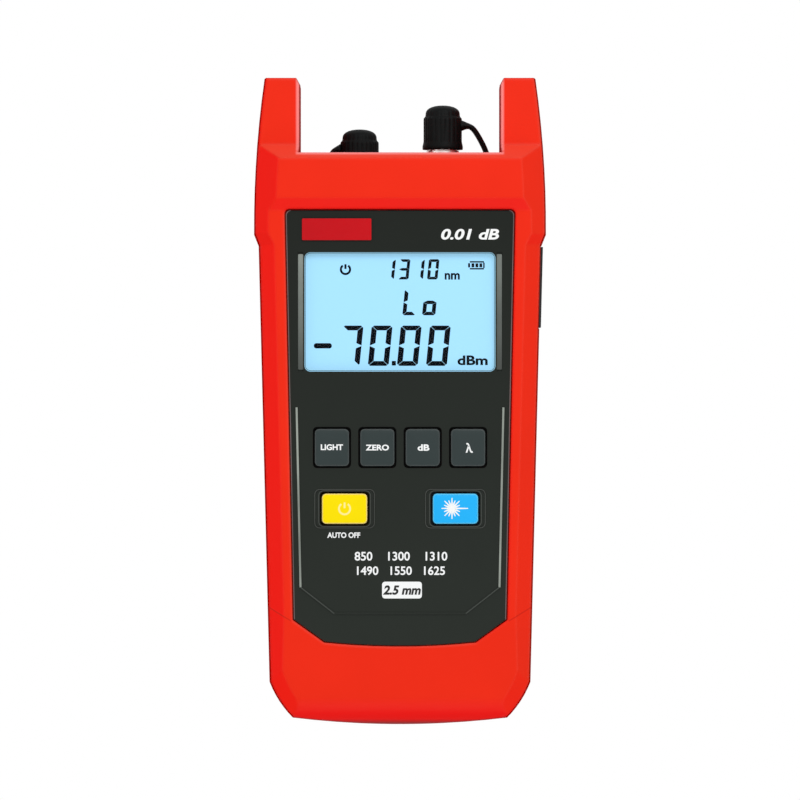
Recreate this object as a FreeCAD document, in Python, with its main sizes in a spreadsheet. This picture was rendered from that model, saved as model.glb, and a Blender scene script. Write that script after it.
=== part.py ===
"""Handheld optical power meter with a visible fault locator, as a parametric document.

Frame: the meter lies on its back. +X is to the right of the display, +Y runs towards the
connector bay, +Z comes out of the display. The origin is the centre of the back's resting plane.
"""
import FreeCAD, Part

import math
import os
from types import SimpleNamespace

import Sketcher

SIZES = [
    # the housing seen from above
    ("length", 198.0, "overall length, horn tips to foot"),
    ("depth", 44.0, "overall height over the head"),
    ("split", 22.0, "parting plane above the back"),
    ("head_half", 44.8, "half width of the head at its lower corner"),
    ("head_swell", 0.9, "bulge of the head's side between corner and horn tip"),
    ("head_drop", 47.8, "horn tip to the head's lower corner"),
    ("shoulder_run", 3.5, "length of the step from head to body"),
    ("shoulder_half", 43.4, "half width of the body at the shoulder"),
    ("foot_half", 40.05, "half width of the body at the foot"),
    ("foot_rise", 13.0, "foot to the start of the corner curve"),
    ("toe_half", 32.9, "half width at the end of the corner curve"),
    ("toe_rise", 2.0, "how far the foot's bottom edge bows"),
    ("corner_bulge", 0.5, "bulge of the foot's corner curve"),
    ("horn_tip_half", 41.6, "outer half width at the horn tips"),
    ("horn_nose_half", 31.6, "inner half width at the horn tips"),
    ("horn_nose", 1.9, "height of the inner corner's slope"),
    ("bay_half", 30.6, "half width of the bay between the horns"),
    ("wall_drop", 23.2, "horn tip to the bay's wall"),
    ("deck_drop", 31.5, "horn tip to the floor of the connector trough"),
    ("trough_low", 8.0, "lower side of the trough"),
    ("trough_drop", 8.0, "top of the head down to the trough's upper side"),
    # the housing seen from the side
    ("belt", 38.6, "height where the front's chamfers start"),
    ("side_draft", 0.8, "draft of the sides up to the belt"),
    ("head_slope", 6.3, "width of the head's side chamfer"),
    ("body_slope", 7.1, "width of the body's side chamfer"),
    ("bevel_reach", 4.1, "length of the bevel at the top of the head"),
    ("bevel_over", 2.4, "how far that bevel runs out past the wall"),
    ("rim_drop", 2.0, "head plateau down to the rim of the panel"),
    ("plateau_drop", 37.0, "horn tip to the lower edge of the plateau"),
    ("chin_fall", 1.0, "fall of the chin towards the foot"),
    ("chin_rise", 35.0, "foot to the crease of the chin"),
    ("roll_rise", 10.0, "foot to the start of the rolled edge"),
    ("roll_depth", 11.0, "height of the rolled edge"),
    ("back_chamfer", 5.0, "height of the back's chamfer"),
    ("back_inset", 4.5, "width of the back's chamfer"),
    # walls
    ("wall", 2.4, "front and back wall"),
    ("side_wall", 3.8, "side wall at the parting plane"),
    ("end_wall", 3.8, "end wall at the foot"),
    ("cavity_corner", 5.0, "corner of the cavity at the foot"),
    ("cavity_draft", 0.6, "cavity further in at the shoulder"),
    ("roof_setback", 12.0, "foot to the end of the cavity under the roll"),
    ("roll_clear", 6.5, "belt down to the deeper cavity at the foot"),
    # front panel and display
    ("panel_top_drop", 40.85, "horn tip to the panel's top edge"),
    ("panel_top_half", 34.8, "half width of the panel at its top"),
    ("panel_low_half", 32.3, "half width of the panel at its lower corner"),
    ("panel_low_rise", 32.8, "foot to the panel's lower corner"),
    ("panel_toe_half", 22.9, "half width at the end of the panel's diagonal"),
    ("panel_toe_rise", 26.1, "foot to the end of the panel's diagonal"),
    ("panel_bow", 1.2, "bow of the panel's bottom edge"),
    ("panel_round", 1.5, "rounding of the panel's top corners"),
    ("panel_thick", 1.4, "thickness of the panel"),
    ("panel_sink", 0.6, "rim down to the panel's face"),
    ("panel_gap", 0.35, "gap round the panel"),
    ("window_wide", 58.1, "width of the display window"),
    ("window_tall", 36.3, "height of the display window"),
    ("window_drop", 30.85, "panel's top edge to the centre of the window"),
    ("window_round", 1.8, "rounding of the window's corners"),
    ("lens_gap", 0.2, "gap between the lens and the panel"),
    ("lens_sink", 0.2, "panel's face down to the lens"),
    ("lens_flange", 1.8, "lens flange beyond the window"),
    ("flange_thick", 0.8, "thickness of the lens flange"),
    ("glass_thick", 2.4, "thickness of the display glass"),
    ("stack_gap", 0.4, "gap round the display in its opening"),
    ("strip_wide", 1.7, "width of the sloped strips beside the window"),
    ("strip_gap", 0.35, "window to the sloped strip"),
    ("strip_deep", 0.4, "depth of the sloped strips"),
    # raised lines on the panel
    ("line_wide", 0.5, "width of the line round the keys"),
    ("line_high", 0.25, "height of the line round the keys"),
    ("line_top_half", 31.5, "half width of the line at its top"),
    ("line_low_half", 30.3, "half width of the line at its knee"),
    ("line_toe_half", 20.0, "half width of the line at its bottom"),
    ("line_top_drop", 59.9, "panel's top edge to the top of the line"),
    ("line_knee_drop", 114.6, "panel's top edge to the line's knee"),
    ("line_toe_drop", 122.6, "panel's top edge to the line's bottom"),
    ("frame_wide", 1.7, "surround of a large key, side to side"),
    ("frame_tall", 0.8, "surround of a large key, up and down"),
    ("frame_high", 0.2, "height of the surrounds"),
    # keys
    ("key_wide", 10.4, "width of a small key"),
    ("key_tall", 11.3, "height of a small key"),
    ("key_pitch", 13.8, "pitch of the small keys"),
    ("key_row_drop", 72.1, "panel's top edge to the row of small keys"),
    ("wide_key_wide", 13.8, "width of a large key"),
    ("wide_key_tall", 9.2, "height of a large key"),
    ("wide_key_half", 16.85, "centre line to the centre of a large key"),
    ("wide_row_gap", 18.6, "row of small keys to the row of large keys"),
    ("key_round", 1.3, "rounding of the keys' corners"),
    ("key_edge", 0.6, "chamfer of the keys' top edges"),
    ("key_gap", 0.6, "gap round the keys"),
    ("key_proud", 1.2, "panel's face to the top of a key"),
    ("key_collar", 0.9, "collar of a key beyond its sides"),
    ("collar_thick", 0.8, "thickness of the collar"),
    ("collar_gap", 0.15, "collar to the shell above it"),
    ("key_travel", 0.8, "travel of a key"),
    ("mat_thick", 0.8, "thickness of the keypad mat"),
    ("mat_over", 3.0, "keypad mat beyond the keys"),
    ("dome_low", 6.8, "width of a dome at the mat"),
    ("dome_high", 4.8, "width of a dome at its top"),
    ("dome_gap", 0.15, "key to its dome when it is pressed"),
    # board and posts
    ("board_drop", 10.0, "top of the head down to the board's upper face"),
    ("board_thick", 1.6, "thickness of the board"),
    ("board_half", 35.0, "half width of the board"),
    ("board_head_drop", 43.5, "horn tip to the board's upper edge"),
    ("board_foot_rise", 33.0, "foot to the board's lower edge"),
    ("board_round", 3.0, "rounding of the board's corners"),
    ("post_radius", 2.6, "radius of the board's posts"),
    ("post_edge", 3.4, "board's edge to the centre of a post"),
    # screws
    ("boss_radius", 3.8, "radius of the screw bosses"),
    ("head_screw_half", 35.8, "centre line to the upper screws"),
    ("head_screw_drop", 39.0, "horn tip to the upper screws"),
    ("foot_screw_half", 31.0, "centre line to the lower screws"),
    ("foot_screw_rise", 19.0, "foot to the lower screws"),
    ("screw_radius", 1.5, "radius of the screw"),
    ("screw_head", 2.8, "radius of the screw's head"),
    ("screw_head_high", 2.2, "height of the screw's head"),
    ("screw_deep", 10.0, "screw beyond the parting plane"),
    ("screw_sink", 0.6, "back to the screw's head"),
    ("drive_across", 2.5, "width of the screw's drive"),
    ("drive_deep", 1.3, "depth of the screw's drive"),
    ("screw_play", 0.2, "clearance round the screw"),
    ("thread_play", 0.05, "clearance round the screw's thread"),
    ("head_play", 0.4, "clearance round the screw's head"),
    # battery compartment
    ("cell_radius", 7.1, "radius of a cell"),
    ("cell_long", 49.2, "length of a cell without its button"),
    ("button_radius", 2.7, "radius of the cell's button"),
    ("button_long", 1.0, "length of the cell's button"),
    ("cell_pitch", 14.6, "pitch of the cells"),
    ("cell_play", 0.4, "clearance round a cell"),
    ("spring_long", 3.6, "length of a contact spring"),
    ("spring_radius", 4.0, "radius of a contact spring at its plate"),
    ("contact_thick", 0.4, "thickness of a contact plate"),
    ("contact_wide", 9.0, "width of a contact plate"),
    ("battery_rise", 16.5, "foot to the battery bay"),
    ("bay_wall", 2.6, "wall of the battery bay"),
    ("door_thick", 1.8, "thickness of the battery door"),
    ("door_gap", 0.3, "gap round the battery door"),
    ("door_lip", 1.5, "door beyond the bay"),
    ("door_sink", 0.15, "back to the face of the door"),
    ("latch_wide", 14.0, "width of the door's latch"),
    ("latch_long", 7.0, "length of the door's finger scoop"),
    ("latch_deep", 0.9, "depth of the door's finger scoop"),
    # connector ports and their caps
    ("laser_x", 13.1, "centre line to the laser port"),
    ("meter_x", 12.4, "centre line to the power port"),
    ("cap_long", 13.6, "length of a dust cap"),
    ("laser_cap_rise", 9.8, "deck to the laser port's cap"),
    ("meter_cap_rise", 2.45, "deck to the power port's cap"),
    ("cap_radius", 5.9, "radius of a dust cap"),
    ("cap_flare", 6.2, "radius of the cap's rim"),
    ("cap_rim", 1.2, "height of the cap's rim"),
    ("cap_nose", 5.3, "radius of the cap's upper part"),
    ("cap_shoulder", 9.7, "rim to the cap's shoulder"),
    ("cap_slope", 2.0, "height of the slopes round the cap's top"),
    ("cap_crease", 0.6, "cap's top down to the crease between the slopes"),
    ("cap_wall", 1.2, "wall of the cap"),
    ("cap_top", 1.6, "thickness of the cap's top"),
    ("barrel_play", 0.3, "cap to the barrel"),
    ("barrel_short", 0.5, "barrel's end to the cap's inner end"),
    ("neck_radius", 5.0, "radius of the port's neck"),
    ("neck_gap", 0.3, "neck to the cap"),
    ("ferrule_radius", 1.25, "radius of the ferrule's bore"),
    ("port_wall", 2.5, "thickness of the deck's wall"),
    ("port_flange", 6.5, "radius of the port's flange"),
    ("flange_long", 1.8, "length of the port's flange"),
    ("port_play", 0.1, "clearance of the port in the deck"),
    ("detector_radius", 4.6, "radius of the detector's can"),
    ("detector_long", 6.0, "length of the detector's can"),
    ("laser_radius", 5.2, "radius of the laser's body"),
    ("laser_long", 17.0, "length of the laser's body"),
    ("ring_radius", 6.6, "outer radius of the tether's ring"),
    ("ring_thick", 1.4, "thickness of the tether's ring"),
    ("ring_play", 0.15, "ring to the neck"),
    ("tether_wide", 5.0, "width of the tether"),
    ("tether_thick", 1.9, "thickness of the tether"),
    ("tether_root", 7.4, "cap's rim to the root of the tether"),
    ("tether_reach", 8.4, "how far the tether swings out"),
    ("tether_knee", 0.42, "share of the climb before the tether turns back"),
    ("tether_gap", 0.3, "tether to the cap"),
    # charging port on the right side
    ("cover_top_drop", 51.7, "horn tip to the port cover"),
    ("cover_long", 24.6, "length of the port cover"),
    ("cover_high", 14.0, "height of the port cover"),
    ("cover_thick", 2.0, "thickness of the port cover"),
    ("cover_proud", 0.35, "port cover beyond the side"),
    ("cover_gap", 0.35, "gap round the port cover"),
    ("plug_long", 8.0, "length of the cover's plug"),
    ("plug_high", 5.0, "height of the cover's plug"),
    ("plug_deep", 1.6, "depth of the cover's plug"),
    ("plug_play", 1.0, "clearance round the cover's plug"),
    ("jack_long", 14.0, "length of the charging jack along the side"),
    ("jack_high", 11.0, "height of the charging jack"),
    ("jack_deep", 13.0, "depth of the charging jack"),
    ("jack_play", 0.1, "jack to the side wall"),
    ("jack_bore", 3.0, "radius of the jack's bore"),
    ("jack_bore_deep", 9.5, "depth of the jack's bore"),
    ("jack_pin", 1.0, "radius of the jack's pin"),
    # brand plate
    ("plate_wide", 21.1, "width of the bare plate"),
    ("plate_tall", 6.6, "height of the bare plate"),
    ("plate_left", 19.25, "centre line to the centre of the plate"),
    ("plate_drop", 5.75, "panel's top edge to the centre of the plate"),
    ("plate_thick", 0.5, "thickness of the plate"),
]

doc = FreeCAD.newDocument("power_meter")
sheet = doc.addObject("Spreadsheet::Sheet", "sizes")
for row, (alias, value, meaning) in enumerate(SIZES, start=1):
    sheet.set(f"A{row}", meaning)
    sheet.set(f"B{row}", str(value))
    sheet.setAlias(f"B{row}", alias)
doc.recompute()


class Size:
    """A number together with the expression that works it out from the sheet."""

    def __init__(self, text, value):
        self.text = text
        self.value = float(value)

    def join(self, sign, other, value):
        return Size(f"({self.text} {sign} {other.text})", value)

    def __add__(self, other):
        other = sized(other)
        return self.join("+", other, self.value + other.value)

    def __sub__(self, other):
        other = sized(other)
        return self.join("-", other, self.value - other.value)

    def __mul__(self, other):
        other = sized(other)
        return self.join("*", other, self.value * other.value)

    def __truediv__(self, other):
        other = sized(other)
        return self.join("/", other, self.value / other.value)

    def __neg__(self):
        return Size(f"(0 - {self.text})", -self.value)

    __radd__ = __add__
    __rmul__ = __mul__

    def __rsub__(self, other):
        return sized(other) - self


def sized(number):
    return number if isinstance(number, Size) else Size(f"({float(number)})", number)


d = SimpleNamespace(**{alias: Size(f"sizes.{alias}", value) for alias, value, _ in SIZES})

# ---------------------------------------------------------------- places shared by the pieces
top = d.length / 2
foot = -d.length / 2
head_y = top - d.head_drop
shoulder_y = head_y - d.shoulder_run
wall_y = top - d.wall_drop
deck_y = top - d.deck_drop
foot_y = foot + d.foot_rise
panel_top = top - d.panel_top_drop
rim_z = d.depth - d.rim_drop
panel_z = rim_z - d.panel_sink
floor_z = panel_z - d.panel_thick
inner_z = floor_z - d.wall
board_top = d.depth - d.board_drop
trough_high = d.depth - d.trough_drop
window_y = panel_top - d.window_drop
key_row = panel_top - d.key_row_drop
wide_row = key_row - d.wide_row_gap
key_top = panel_z + d.key_proud
collar_top = inner_z - d.collar_gap
collar_low = collar_top - d.collar_thick
lens_low = floor_z - d.flange_thick
glass_low = lens_low - d.glass_thick

SMALL_KEYS = [
    ("key_light", -1.5),
    ("key_zero", -0.5),
    ("key_unit", 0.5),
    ("key_wavelength", 1.5),
]
WIDE_KEYS = [("key_power", -1), ("key_laser", 1)]


def key_places():
    """Every key's name, centre and size."""
    for name, step in SMALL_KEYS:
        yield name, d.key_pitch * step, key_row, d.key_wide, d.key_tall
    for name, side in WIDE_KEYS:
        yield name, d.wide_key_half * side, wide_row, d.wide_key_wide, d.wide_key_tall


# ---------------------------------------------------------------- sketches and features
def corner(x, y, radius=None, via=None):
    """A corner of an outline; via is a point that the edge to the next corner bends through."""
    return SimpleNamespace(x=sized(x), y=sized(y), radius=radius, via=via)


def mirrored(half, via_foot=None, via_top=None):
    """A closed outline from its right half, listed from the foot to the top."""
    left = []
    for here, before in zip(reversed(half), list(reversed(half))[1:] + [None]):
        bend = before.via if before is not None else None
        if bend is not None:
            bend = (-bend[0], bend[1])
        left.append(corner(-here.x, here.y, here.radius, bend))
    left[-1].via = via_foot
    right = [corner(c.x, c.y, c.radius, c.via) for c in half]
    right[-1].via = via_top
    return right + left


def rectangle(x, y, wide, tall, radius=None):
    """An upright rectangle about a centre, with rounded corners if a radius is given."""
    sides = [(1, -1), (1, 1), (-1, 1), (-1, -1)]
    return [corner(x + wide / 2 * i, y + tall / 2 * j, radius) for i, j in sides]


def locate(sketch, geometry, point, x, y):
    """Bind one point of the sketch to its place from the sheet."""
    for kind, place in (("DistanceX", x), ("DistanceY", y)):
        index = sketch.addConstraint(Sketcher.Constraint(kind, -1, 1, geometry, point, place.value))
        sketch.setExpression(f"Constraints[{index}]", place.text)


def end_of(sketch, geometry, place):
    """Which end of an edge, 1 or 2, lies at a place."""
    near = [(sketch.getPoint(geometry, point) - place).Length for point in (1, 2)]
    return 1 if near[0] < near[1] else 2


def draw_outline(sketch, corners):
    """Draw a closed outline of lines and arcs, each corner bound to the sheet."""
    spots = [FreeCAD.Vector(c.x.value, c.y.value, 0) for c in corners]
    count = len(corners)
    trims = []
    for i, spot in enumerate(spots):
        back = (spots[i - 1] - spot).normalize()
        ahead = (spots[(i + 1) % count] - spot).normalize()
        trim = 0.0
        if corners[i].radius is not None:
            half_turn = back.getAngle(ahead) / 2
            trim = corners[i].radius.value / math.tan(half_turn)
        trims.append((spot + back * trim, spot + ahead * trim, back, ahead))
    edges = []
    for i, c in enumerate(corners):
        start, stop = trims[i][1], trims[(i + 1) % count][0]
        if c.via is None:
            edges.append((sketch.addGeometry(Part.LineSegment(start, stop), False), start, stop))
            continue
        bend = FreeCAD.Vector(sized(c.via[0]).value, sized(c.via[1]).value, 0)
        arc = sketch.addGeometry(Part.Arc(start, bend, stop), False)
        pin = sketch.addGeometry(Part.Point(bend), True)
        locate(sketch, pin, 1, sized(c.via[0]), sized(c.via[1]))
        sketch.addConstraint(Sketcher.Constraint("PointOnObject", pin, 1, arc))
        edges.append((arc, start, stop))
    for i, c in enumerate(corners):
        before, _, arrive = edges[i - 1]
        after, leave, _ = edges[i]
        first = end_of(sketch, before, arrive)
        second = end_of(sketch, after, leave)
        if c.radius is None:
            sketch.addConstraint(Sketcher.Constraint("Coincident", before, first, after, second))
            locate(sketch, after, second, c.x, c.y)
            continue
        _, _, back, ahead = trims[i]
        reach = c.radius.value / math.sin(back.getAngle(ahead) / 2)
        middle = spots[i] + (back + ahead).normalize() * (reach - c.radius.value)
        arc = sketch.addGeometry(Part.Arc(arrive, middle, leave), False)
        pin = sketch.addGeometry(Part.Point(spots[i]), True)
        locate(sketch, pin, 1, c.x, c.y)
        sketch.addConstraint(Sketcher.Constraint("PointOnObject", pin, 1, before))
        sketch.addConstraint(Sketcher.Constraint("PointOnObject", pin, 1, after))
        enter = end_of(sketch, arc, arrive)
        sketch.addConstraint(Sketcher.Constraint("Tangent", before, first, arc, enter))
        sketch.addConstraint(Sketcher.Constraint("Tangent", arc, 3 - enter, after, second))
        size = sketch.addConstraint(Sketcher.Constraint("Radius", arc, c.radius.value))
        sketch.setExpression(f"Constraints[{size}]", c.radius.text)


def draw_circle(sketch, x, y, radius):
    circle = Part.Circle(FreeCAD.Vector(x.value, y.value, 0), FreeCAD.Vector(0, 0, 1), radius.value)
    ring = sketch.addGeometry(circle, False)
    locate(sketch, ring, 3, x, y)
    index = sketch.addConstraint(Sketcher.Constraint("Radius", ring, radius.value))
    sketch.setExpression(f"Constraints[{index}]", radius.text)


def new_sketch(body, name, role="XY_Plane", lift=None):
    """A sketch on one of the body's own origin planes, moved off it by lift."""
    sketch = body.newObject("Sketcher::SketchObject", name)
    plane = next(face for face in body.Origin.OriginFeatures if face.Role == role)
    sketch.AttachmentSupport = [(plane, "")]
    sketch.MapMode = "FlatFace"
    if lift is not None:
        sketch.setExpression("AttachmentOffset.Base.z", lift.text)
    return sketch


def outline_sketch(body, name, outlines, role="XY_Plane", lift=None):
    sketch = new_sketch(body, name, role, lift)
    for corners in outlines:
        draw_outline(sketch, corners)
    return sketch


def pad(body, sketch, length, both_ways=False, downwards=False):
    feature = body.newObject("PartDesign::Pad", sketch.Name + "_pad")
    feature.Profile = sketch
    feature.SideType = "Symmetric" if both_ways else "One side"
    feature.Reversed = downwards
    feature.setExpression("Length", length.text)
    doc.recompute()
    return feature


def pocket(body, sketch, length=None, upwards=False):
    """Cut a sketch out of the body; without a length it cuts through both ways."""
    before = body.Shape.Volume
    feature = body.newObject("PartDesign::Pocket", sketch.Name + "_cut")
    feature.Profile = sketch
    feature.Reversed = upwards
    if length is None:
        feature.Type = "ThroughAll"
        feature.SideType = "Symmetric"
    else:
        feature.setExpression("Length", length.text)
    doc.recompute()
    if not before > body.Shape.Volume:
        raise RuntimeError(f"{feature.Name} cuts nothing")
    return feature


def revolve(body, sketch, groove=False):
    """Turn a profile about the body's own Y axis."""
    kind = "PartDesign::Groove" if groove else "PartDesign::Revolution"
    feature = body.newObject(kind, sketch.Name + "_turn")
    feature.Profile = sketch
    axis = next(line for line in body.Origin.OriginFeatures if line.Role == "Y_Axis")
    feature.ReferenceAxis = (axis, [""])
    feature.Angle = 360
    doc.recompute()
    return feature


def bevel_edges(body, size, chosen):
    """Chamfer the edges for which chosen(edge) is true."""
    base = body.Tip
    names = [f"Edge{i}" for i, edge in enumerate(base.Shape.Edges, start=1) if chosen(edge)]
    feature = body.newObject("PartDesign::Chamfer", body.Name + "_bevel")
    feature.Base = (base, names)
    feature.setExpression("Size", size.text)
    doc.recompute()
    return feature


PIECES = []


def new_body(name):
    body = doc.addObject("PartDesign::Body", name)
    body.Label = name
    PIECES.append(body)
    return body


def put(piece, x=None, y=None, z=None):
    """Bind a piece's place to the sheet."""
    for axis, place in (("x", x), ("y", y), ("z", z)):
        if place is not None:
            piece.setExpression(f"Placement.Base.{axis}", place.text)
    doc.recompute()


# ---------------------------------------------------------------- outlines of the housing
def housing_outline(side, end, head_side):
    """The plan of the housing with its horns, drawn in by side, end and head_side."""
    tip_y = top - end * 0.5
    swell = ((d.head_half + d.horn_tip_half) / 2 + d.head_swell - head_side, (head_y + tip_y) / 2)
    toe = (d.toe_half - side, foot + d.toe_rise + end)
    ankle = (d.foot_half - side, foot_y + end)
    bend_x = (toe[0] + ankle[0]) / 2 + d.corner_bulge
    bend_y = (toe[1] + ankle[1]) / 2 - d.corner_bulge
    half = [
        corner(*toe, via=(bend_x, bend_y)),
        corner(*ankle),
        corner(d.shoulder_half - side, shoulder_y),
        corner(d.head_half - head_side, head_y, via=swell),
        corner(d.horn_tip_half - head_side, tip_y),
        corner(d.horn_nose_half + side * 0.1, tip_y),
        corner(d.bay_half + side * 0.1, top - d.horn_nose - end * 0.5),
        corner(d.bay_half + side * 0.1, wall_y),
    ]
    return mirrored(half, via_foot=(sized(0), foot + end))


def loft_housing(body, levels):
    """Stack plans of the housing, each (height, side, end, head_side), into one drafted block."""
    plans = []
    for i, (height, side, end, head_side) in enumerate(levels):
        plan = housing_outline(side, end, head_side)
        plans.append(outline_sketch(body, f"{body.Name}_plan_{i}", [plan], lift=height))
    loft = body.newObject("PartDesign::AdditiveLoft", body.Name + "_loft")
    loft.Profile = plans[0]
    loft.Sections = plans[1:]
    loft.Ruled = True
    doc.recompute()


def cavity_outline(foot_end):
    """The inside of the housing, with its two branches into the horns."""
    side = d.side_wall
    inner_foot = d.foot_half - side
    half = [
        corner(inner_foot - d.cavity_corner, foot_end),
        corner(inner_foot, foot_end + d.cavity_corner * 1.5),
        corner(d.shoulder_half - side - d.cavity_draft, shoulder_y),
        corner(d.head_half - side, head_y + d.shoulder_run),
        corner(d.horn_tip_half - side, top - side),
        corner(d.horn_nose_half + side, top - side),
        corner(d.bay_half + side, deck_y - d.port_wall),
    ]
    return mirrored(half)


def panel_outline(grow):
    """The plan of the front panel, made larger by grow."""
    half = [
        corner(d.panel_toe_half + grow / 2, foot + d.panel_toe_rise - grow),
        corner(d.panel_low_half + grow, foot + d.panel_low_rise - grow / 2),
        corner(d.panel_top_half + grow, panel_top + grow, d.panel_round),
    ]
    return mirrored(half, via_foot=(sized(0), foot + d.panel_toe_rise - d.panel_bow - grow))


def screw_places():
    """The four screws, as the side, half width and height up the housing of each."""
    for side in (-1, 1):
        yield d.head_screw_half * side, top - d.head_screw_drop
        yield d.foot_screw_half * side, foot + d.foot_screw_rise


def circles_sketch(body, name, places, radius, lift):
    sketch = new_sketch(body, name, lift=lift)
    for x, y in places:
        draw_circle(sketch, x, y, radius)
    return sketch


def board_posts():
    edge = d.board_half - d.post_edge
    for side in (-1, 1):
        yield edge * side, top - d.board_head_drop - d.post_edge
        yield edge * side, foot + d.board_foot_rise + d.post_edge


def port_cutters(body, name):
    """Half-round seats for the two ports in the deck's wall, on the parting plane."""
    for port, x in (("meter", -d.meter_x), ("laser", d.laser_x)):
        reach = d.neck_radius + d.port_play
        sketch = new_sketch(body, f"{name}_{port}_seat", "XZ_Plane", lift=-deck_y)
        draw_circle(sketch, x, d.split, reach)
        seat = body.newObject("PartDesign::Pocket", f"{name}_{port}_seat_cut")
        seat.Profile = sketch
        seat.Reversed = True
        seat.setExpression("Length", (d.port_wall + 1).text)
        doc.recompute()


battery_half = d.cell_pitch + d.cell_radius + d.cell_play
battery_low = foot + d.battery_rise
battery_long = d.cell_long + d.button_long + d.spring_long + d.contact_thick * 2
battery_high = battery_low + battery_long
battery_mid = (battery_low + battery_high) / 2
door_top = d.door_sink + d.door_thick
cell_z = door_top + d.cell_play + d.cell_radius
battery_roof = cell_z + d.cell_radius + d.cell_play


def port_cover_plan(grow):
    """Plan of the port cover's seat along the leaning side: its four corners."""
    lean = (d.shoulder_half - d.foot_half) / (shoulder_y - foot_y)
    high = top - d.cover_top_drop + grow
    low = top - d.cover_top_drop - d.cover_long - grow
    outer_high = d.shoulder_half - lean * (shoulder_y - high) + d.cover_proud
    outer_low = d.shoulder_half - lean * (shoulder_y - low) + d.cover_proud
    return high, low, outer_high, outer_low


def cut_port_opening(body, name):
    """The seat of the port cover and the hole for the plug, cut from the right side."""
    high, low, outer_high, outer_low = port_cover_plan(d.cover_gap)
    deep = d.cover_thick + d.cover_gap
    seat = [
        corner(outer_low - deep, low),
        corner(outer_low + deep, low),
        corner(outer_high + deep, high),
        corner(outer_high - deep, high),
    ]
    sketch = outline_sketch(body, f"{name}_cover_seat", [seat], lift=d.split)
    feature = body.newObject("PartDesign::Pocket", f"{name}_cover_seat_cut")
    feature.Profile = sketch
    feature.SideType = "Symmetric"
    feature.setExpression("Length", (d.cover_high + d.cover_gap * 2).text)
    doc.recompute()
    middle = (high + low) / 2
    hole_wide = d.plug_long + d.plug_play * 2
    hole = rectangle(d.shoulder_half, middle, d.side_wall * 2 + 2, hole_wide)
    sketch = outline_sketch(body, f"{name}_plug_hole", [hole], lift=d.split)
    feature = body.newObject("PartDesign::Pocket", f"{name}_plug_hole_cut")
    feature.Profile = sketch
    feature.SideType = "Symmetric"
    feature.setExpression("Length", (d.plug_high + d.plug_play * 2).text)
    doc.recompute()


# ---------------------------------------------------------------- housing
def make_front_shell():
    """Front half: drafted sides, chamfered face, raised head, recess for the panel."""
    body = new_body("front_shell")
    loft_housing(body, [
        (d.split, sized(0), sized(0), sized(0)),
        (d.belt, d.side_draft, d.side_draft, d.side_draft),
        (d.depth, d.side_draft + d.body_slope, d.side_draft + d.body_slope,
         d.side_draft + d.head_slope),
    ])
    far = d.length
    roll_z = rim_z - d.chin_fall
    roll_y = foot + d.roll_rise
    bend = d.roll_rise * 0.3
    face = [
        corner(wall_y + d.bevel_over, d.belt),
        corner(wall_y + d.bevel_over - d.bevel_reach, d.depth),
        corner(top - d.plateau_drop, d.depth),
        corner(panel_top, rim_z),
        corner(foot + d.chin_rise, rim_z),
        corner(roll_y, roll_z, via=(foot + bend, roll_z - bend)),
        corner(foot, rim_z - d.roll_depth),
        corner(-far, rim_z - d.roll_depth),
        corner(-far, d.depth * 2),
        corner(far, d.depth * 2),
        corner(far, d.belt),
    ]
    pocket(body, outline_sketch(body, "front_profile", [face], role="YZ_Plane"))

    deep_z = d.belt - d.roll_clear
    low = outline_sketch(body, "front_cavity_low", [cavity_outline(foot + d.end_wall)], lift=d.split)
    pocket(body, low, deep_z - d.split, upwards=True)
    high = outline_sketch(body, "front_cavity", [cavity_outline(foot + d.roof_setback)], lift=d.split)
    pocket(body, high, inner_z - d.split, upwards=True)

    trough = rectangle(sized(0), (deck_y + top) / 2, d.bay_half * 2, top - deck_y)
    trough_sketch = outline_sketch(body, "front_trough", [trough], lift=d.split)
    pocket(body, trough_sketch, trough_high - d.split, upwards=True)
    port_cutters(body, "front")

    recess = outline_sketch(body, "panel_seat", [panel_outline(d.panel_gap)], lift=d.depth)
    pocket(body, recess, d.depth - floor_z)

    stack_wide = d.window_wide + d.lens_flange * 2 + d.stack_gap * 2
    stack_tall = d.window_tall + d.lens_flange * 2 + d.stack_gap * 2
    openings = [rectangle(sized(0), window_y, stack_wide, stack_tall)]
    for _, x, y, wide, tall in key_places():
        openings.append(rectangle(x, y, wide + d.key_gap * 2, tall + d.key_gap * 2))
    pocket(body, outline_sketch(body, "front_openings", openings, lift=d.depth), d.depth - d.split)

    bosses = circles_sketch(body, "front_bosses", screw_places(), d.boss_radius, d.split)
    pad(body, bosses, inner_z - d.split)
    holes = circles_sketch(body, "front_pilots", screw_places(), d.screw_radius + d.thread_play, d.split)
    pocket(body, holes, d.screw_deep + 1, upwards=True)
    posts = circles_sketch(body, "front_posts", board_posts(), d.post_radius, board_top)
    pad(body, posts, inner_z - board_top)
    cut_port_opening(body, "front")


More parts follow.
